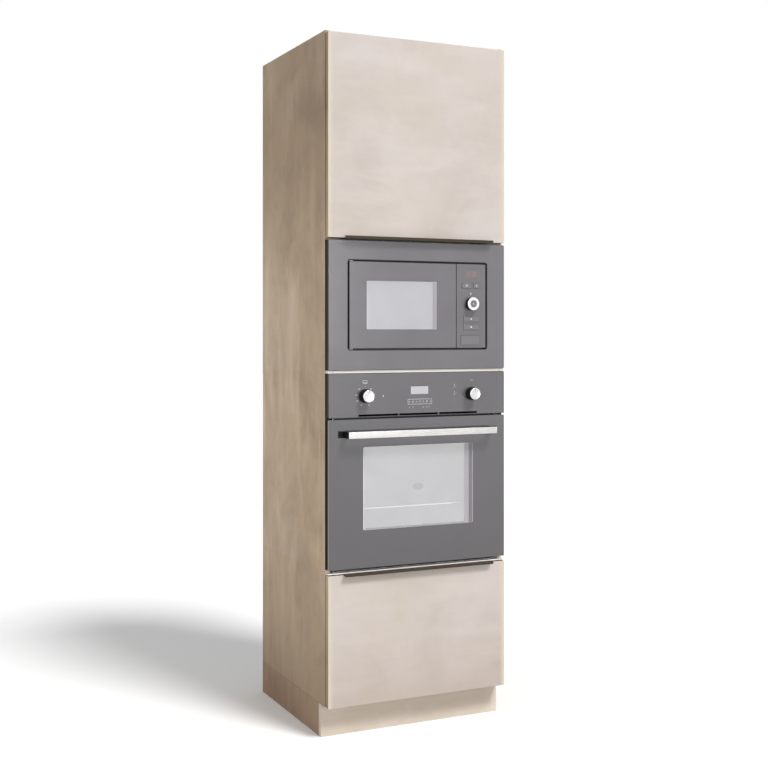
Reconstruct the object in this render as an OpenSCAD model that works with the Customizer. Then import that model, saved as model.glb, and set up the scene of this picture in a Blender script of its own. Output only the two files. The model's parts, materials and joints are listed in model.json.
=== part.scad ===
// Tall kitchen cabinet with a built-in oven, a built-in microwave, a door above and a drawer below.
// Millimetres. +Z is up, the front faces -Y, and the origin is on the floor under the middle of the
// bounding box. Modules draw in a frame whose y = 0 is the front edge of the cabinet's boards.

/* [Cabinet] */
// Width over the side panels
cabinet_w = 600; // [560:5:640]
// Depth of the side panels
cabinet_d = 560; // [540:5:600]
// Height from the floor to the top
cabinet_h = 2100; // [2050:10:2300]
// Thickness of the cabinet's boards
board_t = 16; // [15:0.5:19]
// Height of the plinth
plinth_h = 100; // [80:5:150]
// How far the plinth stands back from the boards' front edges
plinth_setback = 35; // [25:5:60]
// Thickness of the plinth boards
plinth_t = 16; // [12:1:19]
// Clear height of the drawer's compartment
drawer_space_h = 362; // [330:2:380]
// Clear height of the microwave's niche
microwave_niche_h = 380; // [362:2:400]
// Thickness of the back panels
back_t = 3; // [3:0.5:6]
// Distance from the side panels' rear edges to the back panels
back_inset = 16; // [10:1:20]
// Depth of the grooves that hold the back panels
groove_depth = 8; // [5:0.5:9]
// Width of the ventilation cut-out in the shelves under the appliances
vent_cutout_w = 400; // [300:10:440]
// Depth of the ventilation cut-out
vent_cutout_d = 50; // [30:5:60]
// Height of the loose shelf as a share of the cupboard's height
loose_shelf_share = 0.466; // [0.4:0.002:0.6]

/* [Fronts] */
// Thickness of the door and the drawer front
front_t = 18; // [16:1:20]
// Gap between the boards' front edges and the fronts
front_gap = 2; // [2:0.5:3]
// Gap between a front and the cabinet's outer side
front_reveal = 2; // [1.5:0.5:4]
// Gap over the door
door_top_gap = 6; // [3:1:10]
// Length of the edge pulls
pull_l = 500; // [400:10:540]
// How far the edge pull's lip stands in front of the fronts
pull_reach = 17; // [14:1:20]
// Height of the edge pull's lip
pull_lip_h = 12.5; // [10:0.5:14]
// Sheet thickness of the edge pulls
pull_t = 1.5; // [1:0.1:1.6]
// Height of the edge pull's flange behind the front
pull_flange_h = 20; // [15:1:25]

/* [Door hinges] */
// Diameter of the hinge cup
cup_d = 35; // [35:1:36]
// Depth of the hinge cup's hole
cup_depth = 12.5; // [12:0.1:13]
// Distance of the hinge cup's rim from the door's edge
cup_edge = 5; // [4.5:0.5:5]
// Distance of a hinge from the top or bottom of the door
hinge_inset = 100; // [80:5:140]

/* [Drawer] */
// Height of the drawer's sides
drawer_side_h = 268; // [200:2:280]
// Room between the drawer's back and the back panel
drawer_rear_room = 53; // [40:1:65]
// Thickness of the drawer's sides and back
drawer_t = 16; // [12:1:16]
// Thickness of the drawer's bottom
drawer_bottom_t = 8; // [6:0.5:10]
// Height of the runners
runner_h = 45; // [42:1:48]
// Space beside the drawer for each runner
runner_w = 13; // [12.7:0.1:13.5]

/* [Oven] */
// Height of the oven's whole front
oven_front_h = 580; // [570:1:590]
// Height of the control panel
oven_panel_h = 131; // [120:1:140]
// Depth of the oven's casing
oven_casing_d = 528; // [500:2:535]
// Width of the oven's cavity
oven_cavity_w = 450; // [420:2:460]
// Depth of the oven's cavity
oven_cavity_d = 412; // [390:2:420]
// Width of the oven door's window
oven_window_w = 373; // [340:2:390]
// Diameter of the oven's knobs
oven_knob_d = 38; // [32:1:44]
// How far the oven's knobs stand out
oven_knob_reach = 29.5; // [22:0.5:32]
// Distance between the oven's knobs
oven_knob_pitch = 359; // [330:1:380]
// Length of the oven's handle
handle_l = 500; // [460:5:540]
// Height of the handle bar
handle_h = 20; // [16:1:24]
// Depth of the handle bar
handle_t = 12; // [10:0.5:16]
// How far the handle stands in front of the door
handle_reach = 42; // [38:1:50]

/* [Microwave] */
// Height of the trim frame around the microwave
trim_h = 386; // [384:1:386]
// Width of the microwave's front
microwave_w = 461; // [440:1:470]
// Height of the microwave's front
microwave_h = 259; // [240:1:270]
// Groove between the microwave and the trim frame
trim_groove = 6; // [5:0.5:8]
// Depth of the microwave's casing
microwave_d = 360; // [330:2:400]
// Width of the microwave's control panel
microwave_panel_w = 101.5; // [98:0.5:105]
// Height of the microwave's cavity
microwave_cavity_h = 216; // [190:1:220]
// Depth of the microwave's cavity
microwave_cavity_d = 335; // [300:1:340]
// Diameter of the turntable
turntable_d = 245; // [220:1:260]
// Diameter of the microwave's knob
microwave_knob_d = 40; // [34:1:42]
// How far the microwave's knob stands out
microwave_knob_reach = 18; // [14:0.5:22]

/* [Hidden] */
$fn = 64;
eps = 0.01;

// Colours, as the photograph shows them
side_board_colour = "#95856f";
front_board_colour = "#d9cec6";
plinth_colour = "#c9b9a8";
bronze = "#4a4038";
steel = "#b9bbbd";
dark_glass = "#7c797e";
black_plastic = "#1f1f21";
enamel = "#3c3d42";
chrome = "#e6e6e6";

// What the oven's front needs of its niche, and what its cavity and window leave of it
oven_niche_margin = 6;
oven_cavity_margin = 99;
oven_window_margin = 195;
oven_niche_h = oven_front_h + oven_niche_margin;
oven_cavity_h = oven_front_h - oven_panel_h - oven_cavity_margin;

// Levels of the boards
inner_x = cabinet_w / 2 - board_t;
inner_w = 2 * inner_x;
lower_shelf_z = plinth_h + board_t + drawer_space_h;
oven_niche_z = lower_shelf_z + board_t;
middle_shelf_z = oven_niche_z + oven_niche_h;
microwave_niche_z = middle_shelf_z + board_t;
upper_shelf_z = microwave_niche_z + microwave_niche_h;
cupboard_z = upper_shelf_z + board_t;
top_panel_z = cabinet_h - board_t;
back_y = cabinet_d - back_inset - back_t;

// Fronts: their faces share one plane
face_y = -front_gap - front_t;
front_x = cabinet_w / 2 - front_reveal;
appliance_x = front_x - 0.5;
reach_y = face_y - handle_reach;
row_y = -(cabinet_d + reach_y) / 2;

// Door over the microwave
door_z0 = upper_shelf_z + 11;
door_z1 = cabinet_h - door_top_gap;
door_h = door_z1 - door_z0;

// Drawer front
drawer_front_z0 = plinth_h - 3;
drawer_front_z1 = lower_shelf_z + 10;

// Door hinges: pivots seen from the door's left edge
door_pivot = [-front_x + 6, face_y + 5];
arm_pivot = [-front_x + 36, 4];
link_tip = [-front_x + 8.7, -10.6];
cup_x = -front_x + cup_edge + cup_d / 2;
hinge_zs = [door_z0 + hinge_inset, door_z1 - hinge_inset];
hinge_w = 14;
hinge_sheet = 1.6;
hinge_pin_r = 2;
running_clearance = 0.05;

// Holes for the shelf pins
pin_hole_d = 5;
pin_hole_depth = 10;
pin_pitch = 32;
pin_rows_y = [37, back_y - 60];
pin_clearance = 0.05;
loose_shelf_z = cupboard_z + loose_shelf_share * (top_panel_z - cupboard_z);

// Levelling legs
leg_xs = [-230, 230];
leg_ys = [plinth_setback + plinth_t + 32, cabinet_d - 70];
leg_d = 30;
leg_plate_w = 64;

// Drawer
drawer_l = back_y + front_gap - drawer_rear_room;
drawer_x = inner_x - runner_w;
drawer_z0 = plinth_h + board_t + 16;
drawer_bottom_z = drawer_z0 + 12;
drawer_groove = 6;
runner_z = drawer_z0 + 68;
runner_l = drawer_l;
rail_t = 1.5;
rail_play = 0.5;

// Oven
oven_front_z0 = oven_niche_z + 10;
oven_front_z1 = oven_front_z0 + oven_front_h;
oven_panel_z0 = oven_front_z1 - oven_panel_h;
oven_door_gap = 5.5;
oven_display_x = [-28, 31];
oven_display_z = [oven_panel_z0 + 65.5, oven_panel_z0 + 89];
oven_lamp = [-120, oven_panel_z0 + 62.3];
oven_lamp_r = 2.5;
vent_l = 130;
vent_pitch = 135;
oven_door_z1 = oven_panel_z0 - oven_door_gap;
oven_casing_x = inner_x - 9;
oven_casing_h = oven_niche_h - 9;
motor_vent_r = 30;
sheet_t = 1.5;
oven_frame_y = 16;
oven_frame_t = 2;
oven_cavity_y = oven_frame_y + oven_frame_t;
oven_cavity_z = oven_front_z0 + 56;
cavity_wall = 2;
oven_glass_t = 4;
oven_window_z = oven_front_z0 + 112;
oven_window_h = oven_door_z1 - oven_front_z0 - oven_window_margin;
oven_window_frame = 14;
oven_inner_x = oven_casing_x - 13;
oven_inner_z0 = oven_front_z0 + 6;
oven_inner_z1 = oven_door_z1 - 8;
oven_inner_back_y = 10;
inner_glass_t = 3;
oven_hinge_x = oven_inner_x - 17;
oven_pin = [face_y + 12, oven_front_z0 + 7];
oven_pin_r = 2.5;
oven_eye_r = 4.6;
oven_knob_z = oven_panel_z0 + 63.6;
knob_shaft_r = 3;
handle_z = oven_door_z1 - 44;
handle_end_w = 14;
rack_z = oven_cavity_z + 112;
rack_wire_r = 3;
ladder_wire_r = 2.5;
ladder_x = oven_cavity_w / 2 - 6;
ladder_pitch = 62;
ladder_levels = floor((oven_cavity_h - 100) / ladder_pitch) + 1;
ladder_upright_x = ladder_x + 3.2;
rack_inset = 2.6;
rack_x = ladder_x - rack_inset;
grill_drop = 18;
grill_r = 3.2;
fan_r = oven_cavity_h / 3.5;
rack_y0 = oven_cavity_y + 24;
rack_y1 = oven_cavity_y + oven_cavity_d - 28;
seat_gap = 0.3;
rack_seat_drop = sqrt(pow(rack_wire_r + seat_gap + ladder_wire_r, 2) - pow(rack_inset, 2));
oven_cavity_r = 18;
lamp_cover_r = 26;
lamp_cover = [-oven_cavity_w / 2 + 62, oven_cavity_z + oven_cavity_h - 58];

// Microwave
trim_z0 = microwave_niche_z - 2;
trim_z1 = trim_z0 + trim_h;
trim_t = 3;
trim_wall = 2;
microwave_z0 = trim_z0 + (trim_h - microwave_h) / 2 + 1;
microwave_z1 = microwave_z0 + microwave_h;
microwave_x = microwave_w / 2;
microwave_split_x = microwave_x - microwave_panel_w - 1;
microwave_door_x1 = microwave_split_x - 1;
microwave_plate_y = 3;
microwave_cavity_side = 35.5;
microwave_latch_room = 33;
microwave_casing_x = microwave_x - 3;
microwave_casing_z0 = microwave_z0 + 3;
microwave_casing_z1 = microwave_z1 - 3;
microwave_casing_y = microwave_plate_y + 2;
microwave_cavity_x0 = -microwave_x + microwave_cavity_side;
microwave_cavity_w = microwave_split_x - microwave_latch_room - microwave_cavity_x0;
microwave_cavity_z = microwave_z0 + 21.5;
microwave_window = [-microwave_x + 56, 235, microwave_z0 + 56.5, 146];
microwave_glass_t = 3;
microwave_pivot = [-microwave_x + 7.5, face_y + 8];
door_pin_r = 2;
microwave_feet_h = 3;
roller_ring_r = turntable_d / 2 - 38.5;
roller_ring_w = 6;
lead_bush_x = microwave_casing_x - 50;
button_travel = 1.5;
button_play = 0.4;
panel_t = 2.5;
clock_button_box = [microwave_x - 82.5, 31.3, microwave_z0 + 185, 15];
power_button_box = [microwave_x - 42, 19.5, microwave_z0 + 185, 15];
start_button_box = [microwave_x - 78, 54, microwave_z0 + 81, 16.2];
stop_button_box = [microwave_x - 78, 54, microwave_z0 + 56, 16.4];
release_button_box = [microwave_x - 86.8, 65, microwave_z0 + 9, 28.8];
display_box = [microwave_x - 75.9, 52, microwave_z0 + 213, 30.6];
microwave_knob_x = microwave_x - 51;
microwave_knob_z = microwave_z0 + 136;
turntable_x = microwave_cavity_x0 + microwave_cavity_w / 2;
turntable_y = microwave_casing_y + microwave_cavity_d / 2;
roller_r = 6;
roller_z = microwave_cavity_z + roller_r + seat_gap;
plate_z = roller_z + roller_r + seat_gap;
drive_shaft_r = 4;

// Moves what is drawn from the boards' front edge to the part's origin
module in_row() translate([0, row_y, 0]) children();

// A box given by its ends along each axis
module span(x, y, z) translate([x[0], y[0], z[0]]) cube([x[1] - x[0], y[1] - y[0], z[1] - z[0]]);

// Stands a drawing in the XZ plane and gives it thickness from y0 to y1
module slab(y0, y1) translate([0, y1, 0]) rotate([90, 0, 0]) linear_extrude(y1 - y0) children();

// Sweeps a drawing in the YZ plane along X
module along_x(x0, x1) translate([x0, 0, 0]) rotate([90, 0, 90]) linear_extrude(x1 - x0) children();

// A round bar along Y
module bar_y(x, z, y0, y1, r) translate([x, y1, z]) rotate([90, 0, 0]) cylinder(h = y1 - y0, r = r);

// A round bar along X
module bar_x(y, z, x0, x1, r) translate([x0, y, z]) rotate([0, 90, 0]) cylinder(h = x1 - x0, r = r);

// Draws its children upright where way is 1, and upside down where it is -1
module upright(way) mirror([0, 0, (1 - way) / 2]) children();

// Draws its children on the right, and mirrored on the left
module both_sides() {
    children();
    mirror([1, 0, 0]) children();
}

// A rectangle from x0 to x1 and z0 to z1 with round corners
module round_rect(x0, x1, z0, z1, r) {
    translate([x0 + r, z0]) square([x1 - x0 - 2 * r, z1 - z0]);
    translate([x0, z0 + r]) square([x1 - x0, z1 - z0 - 2 * r]);
    for (x = [x0 + r, x1 - r], z = [z0 + r, z1 - r]) translate([x, z]) circle(r);
}

// A round wire through the points, with ball corners
module wire(points, r) {
    for (i = [1 : len(points) - 1]) {
        a = points[i - 1];
        d = points[i] - a;
        translate(a) rotate([0, acos(d.z / norm(d)), atan2(d.y, d.x)]) cylinder(h = norm(d), r = r);
    }
    for (i = [1 : 1 : len(points) - 2]) translate(points[i]) sphere(r);
}

// ---- Cabinet ----

module side_panel_right() color(side_board_colour) in_row() difference() {
    span([inner_x, cabinet_w / 2], [0, cabinet_d], [plinth_h, cabinet_h]);
    for (z = [[plinth_h, lower_shelf_z + board_t], [upper_shelf_z, cabinet_h]])
        span([inner_x - eps, inner_x + groove_depth], [back_y, back_y + back_t], z);
    for (y = pin_rows_y, k = [-3 : 3])
        translate([inner_x - eps, y, loose_shelf_z - pin_hole_d / 2 + k * pin_pitch])
            rotate([0, 90, 0]) cylinder(h = pin_hole_depth + eps, d = pin_hole_d, $fn = 24);
}

module side_panel_left() mirror([1, 0, 0]) side_panel_right();

module top_panel() color(front_board_colour) in_row() difference() {
    span([-inner_x, inner_x], [0, cabinet_d], [top_panel_z, cabinet_h]);
    span([-inner_x - eps, inner_x + eps], [back_y, back_y + back_t],
        [top_panel_z - eps, top_panel_z + groove_depth]);
}

module bottom_panel() color(front_board_colour) in_row() difference() {
    span([-inner_x, inner_x], [0, cabinet_d], [plinth_h, plinth_h + board_t]);
    span([-inner_x - eps, inner_x + eps], [back_y, back_y + back_t],
        [plinth_h + board_t - groove_depth, plinth_h + board_t + eps]);
}

module upper_fixed_shelf() color(front_board_colour) in_row()
    span([-inner_x, inner_x], [0, back_y], [upper_shelf_z, cupboard_z]);

module niche_shelves() color(front_board_colour) in_row()
    for (z = [lower_shelf_z, middle_shelf_z]) difference() {
        span([-inner_x, inner_x], [0, back_y], [z, z + board_t]);
        span([-vent_cutout_w / 2, vent_cutout_w / 2], [back_y - vent_cutout_d, back_y + eps],
            [z - eps, z + board_t + eps]);
    }

module back_panels() color(front_board_colour) in_row() {
    x = inner_x + groove_depth;
    span([-x, x], [back_y, back_y + back_t],
        [plinth_h + board_t - groove_depth, lower_shelf_z + board_t]);
    span([-x, x], [back_y, back_y + back_t], [upper_shelf_z, top_panel_z + groove_depth]);
}

module loose_shelf() color(front_board_colour) in_row()
    span([-inner_x + 1, inner_x - 1], [20, back_y - 1], [loose_shelf_z, loose_shelf_z + board_t]);

module shelf_pins() color(steel) in_row() both_sides() for (y = pin_rows_y) {
    z = loose_shelf_z - pin_hole_d / 2;
    translate([inner_x - 7, y, z]) rotate([0, 90, 0])
        cylinder(h = 7 + pin_hole_depth - 2, r = pin_hole_d / 2 - pin_clearance, $fn = 24);
    span([inner_x - 7, inner_x - 5.5], [y - 3, y + 3], [z - 8, loose_shelf_z]);
}

module plinth_front() color(plinth_colour) in_row()
    span([-cabinet_w / 2, cabinet_w / 2], [plinth_setback, plinth_setback + plinth_t],
        [0, plinth_h]);

module plinth_sides() color(side_board_colour) in_row() both_sides()
    span([cabinet_w / 2 - plinth_t, cabinet_w / 2], [plinth_setback + plinth_t, cabinet_d],
        [0, plinth_h]);

// A socket with a ribbed tube under the bottom panel, and a clip that grips the plinth at the front
module levelling_legs() color(black_plastic) in_row() {
    for (x = leg_xs, y = leg_ys) translate([x, y, 0]) difference() {
        union() {
            translate([-leg_plate_w / 2, -leg_plate_w / 2, plinth_h - 4])
                cube([leg_plate_w, leg_plate_w, 4]);
            translate([0, 0, 38]) cylinder(h = plinth_h - 42 + eps, d = leg_d);
            for (a = [0 : 45 : 315]) rotate(a) translate([leg_d / 2 - 1, -1, plinth_h - 24])
                cube([8, 2, 20 + eps]);
        }
        translate([0, 0, 38 - eps]) cylinder(h = plinth_h - 50, d = 16.4);
    }
    for (x = leg_xs) translate([x, leg_ys[0], 0]) difference() {
        union() {
            translate([0, 0, 50]) cylinder(h = 16, d = leg_d + 6);
            span([-leg_d / 2, leg_d / 2], [plinth_setback + plinth_t - leg_ys[0], 0], [50, 66]);
        }
        translate([0, 0, 50 - eps]) cylinder(h = 16 + 2 * eps, d = leg_d + 0.2);
        span([-leg_d / 2 + 3, leg_d / 2 - 3], [0, leg_d], [50 - eps, 66 + eps]);
    }
}

module levelling_feet() color(black_plastic) in_row()
    for (x = leg_xs, y = leg_ys) translate([x, y, 0]) {
        cylinder(h = 4, d = 50);
        translate([0, 0, 3]) cylinder(h = 9, d1 = 46, d2 = 22);
        translate([0, 0, 2]) cylinder(h = plinth_h - 16, d = 16);
        for (a = [0, 60, 120]) rotate(a) translate([-14, -2, 6]) cube([28, 4, 16]);
    }

// ---- Door hinges ----

// Side of the arm, seen from above
module arm_outline() {
    polygon([
        [-inner_x + 4, 28], [-inner_x + 4, 74], [-inner_x + 12, 74], [-inner_x + 15, 66],
        [-inner_x + 17, 30], [arm_pivot.x + 3.6, 12], [arm_pivot.x + 3.6, arm_pivot.y],
        [arm_pivot.x - 3.6, arm_pivot.y], [arm_pivot.x - 4.5, 10], [-inner_x + 10, 24]
    ]);
    translate(arm_pivot) circle(3.6);
}

module door_hinge_arms() color(steel) in_row() for (z = hinge_zs) translate([0, 0, z]) {
    for (side = [-hinge_w / 2, hinge_w / 2 - hinge_sheet]) translate([0, 0, side])
        linear_extrude(hinge_sheet) arm_outline();
    span([-inner_x + 4, -inner_x + 6], [28, 74], [-hinge_w / 2, hinge_w / 2]);
    translate([arm_pivot.x, arm_pivot.y, -hinge_w / 2]) cylinder(h = hinge_w, r = hinge_pin_r);
    // Mounting plate with its two wings
    span([-inner_x, -inner_x + 4 + eps], [26, 76], [-9, 9]);
    span([-inner_x, -inner_x + 2.5], [30, 44], [-24, 24]);
    for (y = [37, 62]) translate([-inner_x + 6 - eps, y, 0]) rotate([0, 90, 0])
        cylinder(h = 3, d = 7);
}

// The link's cranked bar, seen from above
module link_outline() {
    translate(arm_pivot) circle(3.4);
    polygon([
        arm_pivot + [-1.2, 2.6], arm_pivot + [1.8, -2.6], arm_pivot + [-6, -9.6],
        arm_pivot + [-14, -13.6], link_tip + [1, -1], link_tip + [-0.5, 1],
        arm_pivot + [-20, -11.5], arm_pivot + [-12, -8.5]
    ]);
    translate(link_tip) circle(1.3);
}

module door_hinge_links() color(steel) in_row() for (z = hinge_zs) translate([0, 0, z]) {
    difference() {
        translate([0, 0, -hinge_w / 2 + hinge_sheet + 0.4])
            linear_extrude(hinge_w - 2 * hinge_sheet - 0.8) link_outline();
        translate([arm_pivot.x, arm_pivot.y, -hinge_w])
            cylinder(h = 2 * hinge_w, r = hinge_pin_r + running_clearance);
    }
}

module door_hinge_cups() color(steel) in_row() for (z = hinge_zs) difference() {
    union() {
        bar_y(cup_x, z, -front_gap - cup_depth, -front_gap, cup_d / 2);
        slab(-front_gap, -front_gap + 1.2)
            round_rect(-front_x + cup_edge + 2, cup_x + 11, z - 32, z + 32, 5);
        bar_y(cup_x, z, -front_gap, -front_gap + 1.2, cup_d / 2);
    }
    bar_y(cup_x, z, -front_gap - cup_depth + 0.8, 1, cup_d / 2 - 1);
    for (side = [-24, 24]) bar_y(cup_x + 5, z + side, -front_gap - eps, 1, 2);
}

module upper_door_panel() color(front_board_colour) in_row() difference() {
    span([-front_x, front_x], [face_y, -front_gap], [door_z0, door_z1]);
    for (z = hinge_zs) bar_y(cup_x, z, -front_gap - cup_depth, 1, cup_d / 2);
}

// Section of the edge pull on the lower edge of a front whose edge is at z = 0
module pull_section() {
    back = -front_gap + pull_t;
    translate([face_y - pull_reach, -pull_lip_h / 2]) square([2, pull_lip_h]);
    translate([face_y - pull_reach, -pull_t]) square([back - face_y + pull_reach, pull_t]);
    translate([-front_gap, -pull_t]) square([pull_t, pull_flange_h + pull_t]);
}

module upper_door_pull() color(bronze) in_row() translate([0, 0, door_z0])
    along_x(-pull_l / 2, pull_l / 2) pull_section();

// ---- Drawer ----

module drawer_front() color(front_board_colour) in_row()
    span([-front_x, front_x], [face_y, -front_gap], [drawer_front_z0, drawer_front_z1]);

module drawer_pull() color(bronze) in_row() translate([0, 0, drawer_front_z1])
    mirror([0, 0, 1]) along_x(-pull_l / 2, pull_l / 2) pull_section();

module drawer_sides() color("#e4e0da") in_row() both_sides() difference() {
    span([drawer_x - drawer_t, drawer_x], [-front_gap, drawer_l - front_gap],
        [drawer_z0, drawer_z0 + drawer_side_h]);
    span([drawer_x - drawer_t - eps, drawer_x - drawer_t + drawer_groove],
        [-front_gap - eps, drawer_l - front_gap - drawer_t],
        [drawer_bottom_z, drawer_bottom_z + drawer_bottom_t]);
}

module drawer_back() color("#e4e0da") in_row()
    span([-drawer_x + drawer_t, drawer_x - drawer_t],
        [drawer_l - front_gap - drawer_t, drawer_l - front_gap],
        [drawer_z0, drawer_z0 + drawer_side_h]);

module drawer_bottom() color("#d8d3ca") in_row() {
    x = drawer_x - drawer_t + drawer_groove;
    span([-x, x], [-front_gap, drawer_l - front_gap - drawer_t],
        [drawer_bottom_z, drawer_bottom_z + drawer_bottom_t]);
}

// A rail's section around (0, 0): a web at x = web_x and two flanges from x0 to x1
module rail_section(web_x, x0, x1, h, t) {
    translate([web_x, -h / 2]) square([t, h]);
    for (z = [-h / 2, h / 2 - t]) translate([x0, z]) square([x1 - x0, t]);
}

module rail(y0, y1) in_row() both_sides() translate([0, 0, runner_z]) slab(y0, y1) children();

module runner_cabinet_rails() color(steel) rail(2, runner_l)
    rail_section(inner_x - rail_t, inner_x - 8, inner_x, runner_h, rail_t);

module runner_middle_rails() color(steel) rail(2, runner_l - 14)
    rail_section(drawer_x + runner_w / 2 - 0.3, drawer_x + 2.2, inner_x - rail_t - 0.7,
        runner_h - 2 * rail_t - 2 * rail_play, rail_t);

module runner_drawer_rails() color(steel) rail(0, runner_l - 6)
    rail_section(drawer_x, drawer_x, drawer_x + runner_w / 2 - 1,
        runner_h - 4 * rail_t - 4 * rail_play, rail_t);

// ---- Oven ----

module oven_casing() color(steel) in_row() difference() {
    span([-oven_casing_x, oven_casing_x], [2, 2 + oven_casing_d],
        [oven_niche_z, oven_niche_z + oven_casing_h]);
    span([-oven_casing_x + sheet_t, oven_casing_x - sheet_t], [1, 2 + oven_casing_d - sheet_t],
        [oven_niche_z + sheet_t, oven_niche_z + oven_casing_h - sheet_t]);
    // Ventilation slots in the back, and a ring of them round the fan's motor
    slab(oven_casing_d - 5, oven_casing_d + 5) {
        for (k = [-5 : 5]) round_rect(k * 36 - 12, k * 36 + 12, oven_niche_z + oven_casing_h - 40,
            oven_niche_z + oven_casing_h - 33, 3);
        translate([0, oven_cavity_z + oven_cavity_h / 2 - 10]) for (a = [0 : 20 : 340])
            rotate(a) translate([motor_vent_r, -3]) square([26, 6]);
    }
}

module cavity_outline(grow) round_rect(-oven_cavity_w / 2 - grow, oven_cavity_w / 2 + grow,
    oven_cavity_z - grow, oven_cavity_z + oven_cavity_h + grow, oven_cavity_r + grow);

module oven_cavity() color(enamel) in_row() {
    y1 = oven_cavity_y + oven_cavity_d;
    difference() {
        slab(oven_cavity_y, y1 + cavity_wall) cavity_outline(cavity_wall);
        slab(oven_cavity_y - 1, y1) cavity_outline(0);
    }
    // Bezel that holds the lamp's glass on the back wall
    difference() {
        bar_y(lamp_cover.x, lamp_cover.y, y1 - 8, y1 + eps, lamp_cover_r);
        bar_y(lamp_cover.x, lamp_cover.y, y1 - 9, y1 - 3, lamp_cover_r - 4);
    }
}

// The oven's front behind the door, with the mouth of the cavity
module oven_front_frame() color(enamel) in_row() difference() {
    x = oven_casing_x - sheet_t;
    slab(oven_frame_y, oven_frame_y + oven_frame_t) difference() {
        translate([-x, oven_niche_z + sheet_t]) square([2 * x, oven_panel_z0 - oven_niche_z - 4]);
        cavity_outline(0);
    }
}

module oven_door_seal() color("#2a2a2c") in_row()
    slab(oven_inner_back_y + inner_glass_t + seat_gap, oven_frame_y) difference() {
        cavity_outline(9);
        cavity_outline(3);
    }

module oven_display_outline() round_rect(oven_display_x[0], oven_display_x[1],
    oven_display_z[0], oven_display_z[1], 1);

module panel_outline(inset) translate([-appliance_x + inset, oven_panel_z0 + inset])
    square([2 * (appliance_x - inset), oven_panel_h - 2 * inset]);

// A shallow pan: face plate, returns back to the cabinet and bosses that guide the knob shafts
module oven_control_panel() color(dark_glass) in_row() difference() {
    union() {
        slab(face_y, face_y + trim_t) panel_outline(0);
        slab(face_y, 0) difference() {
            panel_outline(0);
            panel_outline(trim_wall);
        }
        for (x = [-oven_knob_pitch / 2, oven_knob_pitch / 2])
            bar_y(x, oven_knob_z, face_y, face_y + 12, 8);
    }
    for (x = [-oven_knob_pitch / 2, oven_knob_pitch / 2])
        bar_y(x, oven_knob_z, face_y - 1, face_y + 13, knob_shaft_r + running_clearance);
    for (k = [-1 : 1]) slab(face_y - 1, face_y + trim_t + 1)
        translate([k * vent_pitch - vent_l / 2 - 1, oven_panel_z0 + 2.5]) square([vent_l, 5.5]);
    slab(face_y - 1, face_y + trim_t + 1) oven_display_outline();
    bar_y(oven_lamp.x, oven_lamp.y, face_y - 1, face_y + trim_t + 1, oven_lamp_r);
}

// Display window and the round indicator lens, flush with the panel
module oven_display() color("#cfd0d4") in_row() {
    slab(face_y, face_y + trim_t) oven_display_outline();
    bar_y(oven_lamp.x, oven_lamp.y, face_y, face_y + trim_t, oven_lamp_r);
}

// A turned knob: skirt, tapered grip, dished face with a pointer groove, and its shaft
module oven_knob(x) color(chrome) in_row() {
    r = oven_knob_d / 2;
    translate([x, face_y - 0.5, oven_knob_z]) rotate([90, 0, 0]) difference() {
        union() {
            cylinder(h = 3, r = r);
            translate([0, 0, 3 - eps]) cylinder(h = oven_knob_reach - 5.5, r1 = r - 0.6, r2 = r - 2);
            translate([0, 0, oven_knob_reach - 2.5 - 2 * eps]) cylinder(h = 2, r1 = r - 2, r2 = r - 3.2);
            translate([0, 0, -14]) cylinder(h = 14 + eps, r = knob_shaft_r);
        }
        translate([-0.8, r / 2, oven_knob_reach - 1.5]) cube([1.6, r / 2, 2]);
    }
}

module oven_knob_left() oven_knob(-oven_knob_pitch / 2);

module oven_knob_right() oven_knob(oven_knob_pitch / 2);

module oven_rack_ladders() color(chrome) in_row() both_sides() {
    z0 = rack_z - rack_seat_drop - ladder_pitch;
    z1 = z0 + (ladder_levels - 1) * ladder_pitch + 14;
    for (y = [rack_y0 + 14, rack_y1 - 4]) {
        wire([[ladder_upright_x, y, z0], [ladder_upright_x, y, z1]], ladder_wire_r);
        for (z = [z0, z1]) bar_x(y, z, ladder_x, oven_cavity_w / 2, ladder_wire_r);
    }
    for (k = [0 : ladder_levels - 1], lift = [0, 14])
        bar_y(ladder_x, z0 + k * ladder_pitch + lift, rack_y0 - 10, rack_y1 + 6, ladder_wire_r);
}

// Wire rack: a frame rod all round, a cross rod and closely spaced wires welded on top
module oven_rack() color(chrome) in_row() {
    wire([[-rack_x, rack_y0, rack_z], [rack_x, rack_y0, rack_z], [rack_x, rack_y1, rack_z],
        [-rack_x, rack_y1, rack_z], [-rack_x, rack_y0, rack_z]], rack_wire_r);
    translate([-rack_x, rack_y0, rack_z]) sphere(rack_wire_r);
    for (k = [-8 : 8])
        bar_y(k * (rack_x - 12) / 8, rack_z + 2.2, rack_y0, rack_y1, 1.5);
    bar_x((rack_y0 + rack_y1) / 2, rack_z - 0.5, -rack_x, rack_x, 2);
}

// A tube in four loops under the cavity's roof, with two hangers on cross bars
module oven_grill_element() color("#5b5650") in_row() {
    z = oven_cavity_z + oven_cavity_h - grill_drop;
    y0 = oven_cavity_y + 0.17 * oven_cavity_d;
    y1 = oven_cavity_y + oven_cavity_d;
    ya = y1 - 0.15 * oven_cavity_d;
    yb = y1 - 0.3 * oven_cavity_d;
    ym = (y0 + yb) / 2;
    a = 0.07 * oven_cavity_w;
    b = 0.21 * oven_cavity_w;
    c = 0.38 * oven_cavity_w;
    end = 0.045 * oven_cavity_w;
    wire([[-end, y1, z], [-end, ya, z], [-c, ya, z], [-c, y0, z], [-b, y0, z], [-b, yb, z],
        [-a, yb, z], [-a, y0, z], [a, y0, z], [a, yb, z], [b, yb, z], [b, y0, z], [c, y0, z],
        [c, ya, z], [end, ya, z], [end, y1, z]], grill_r);
    both_sides() {
        translate([(b + c) / 2, ym, z]) cylinder(h = grill_drop, r = 2);
        bar_x(ym, z, b, c, 2);
    }
}

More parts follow.
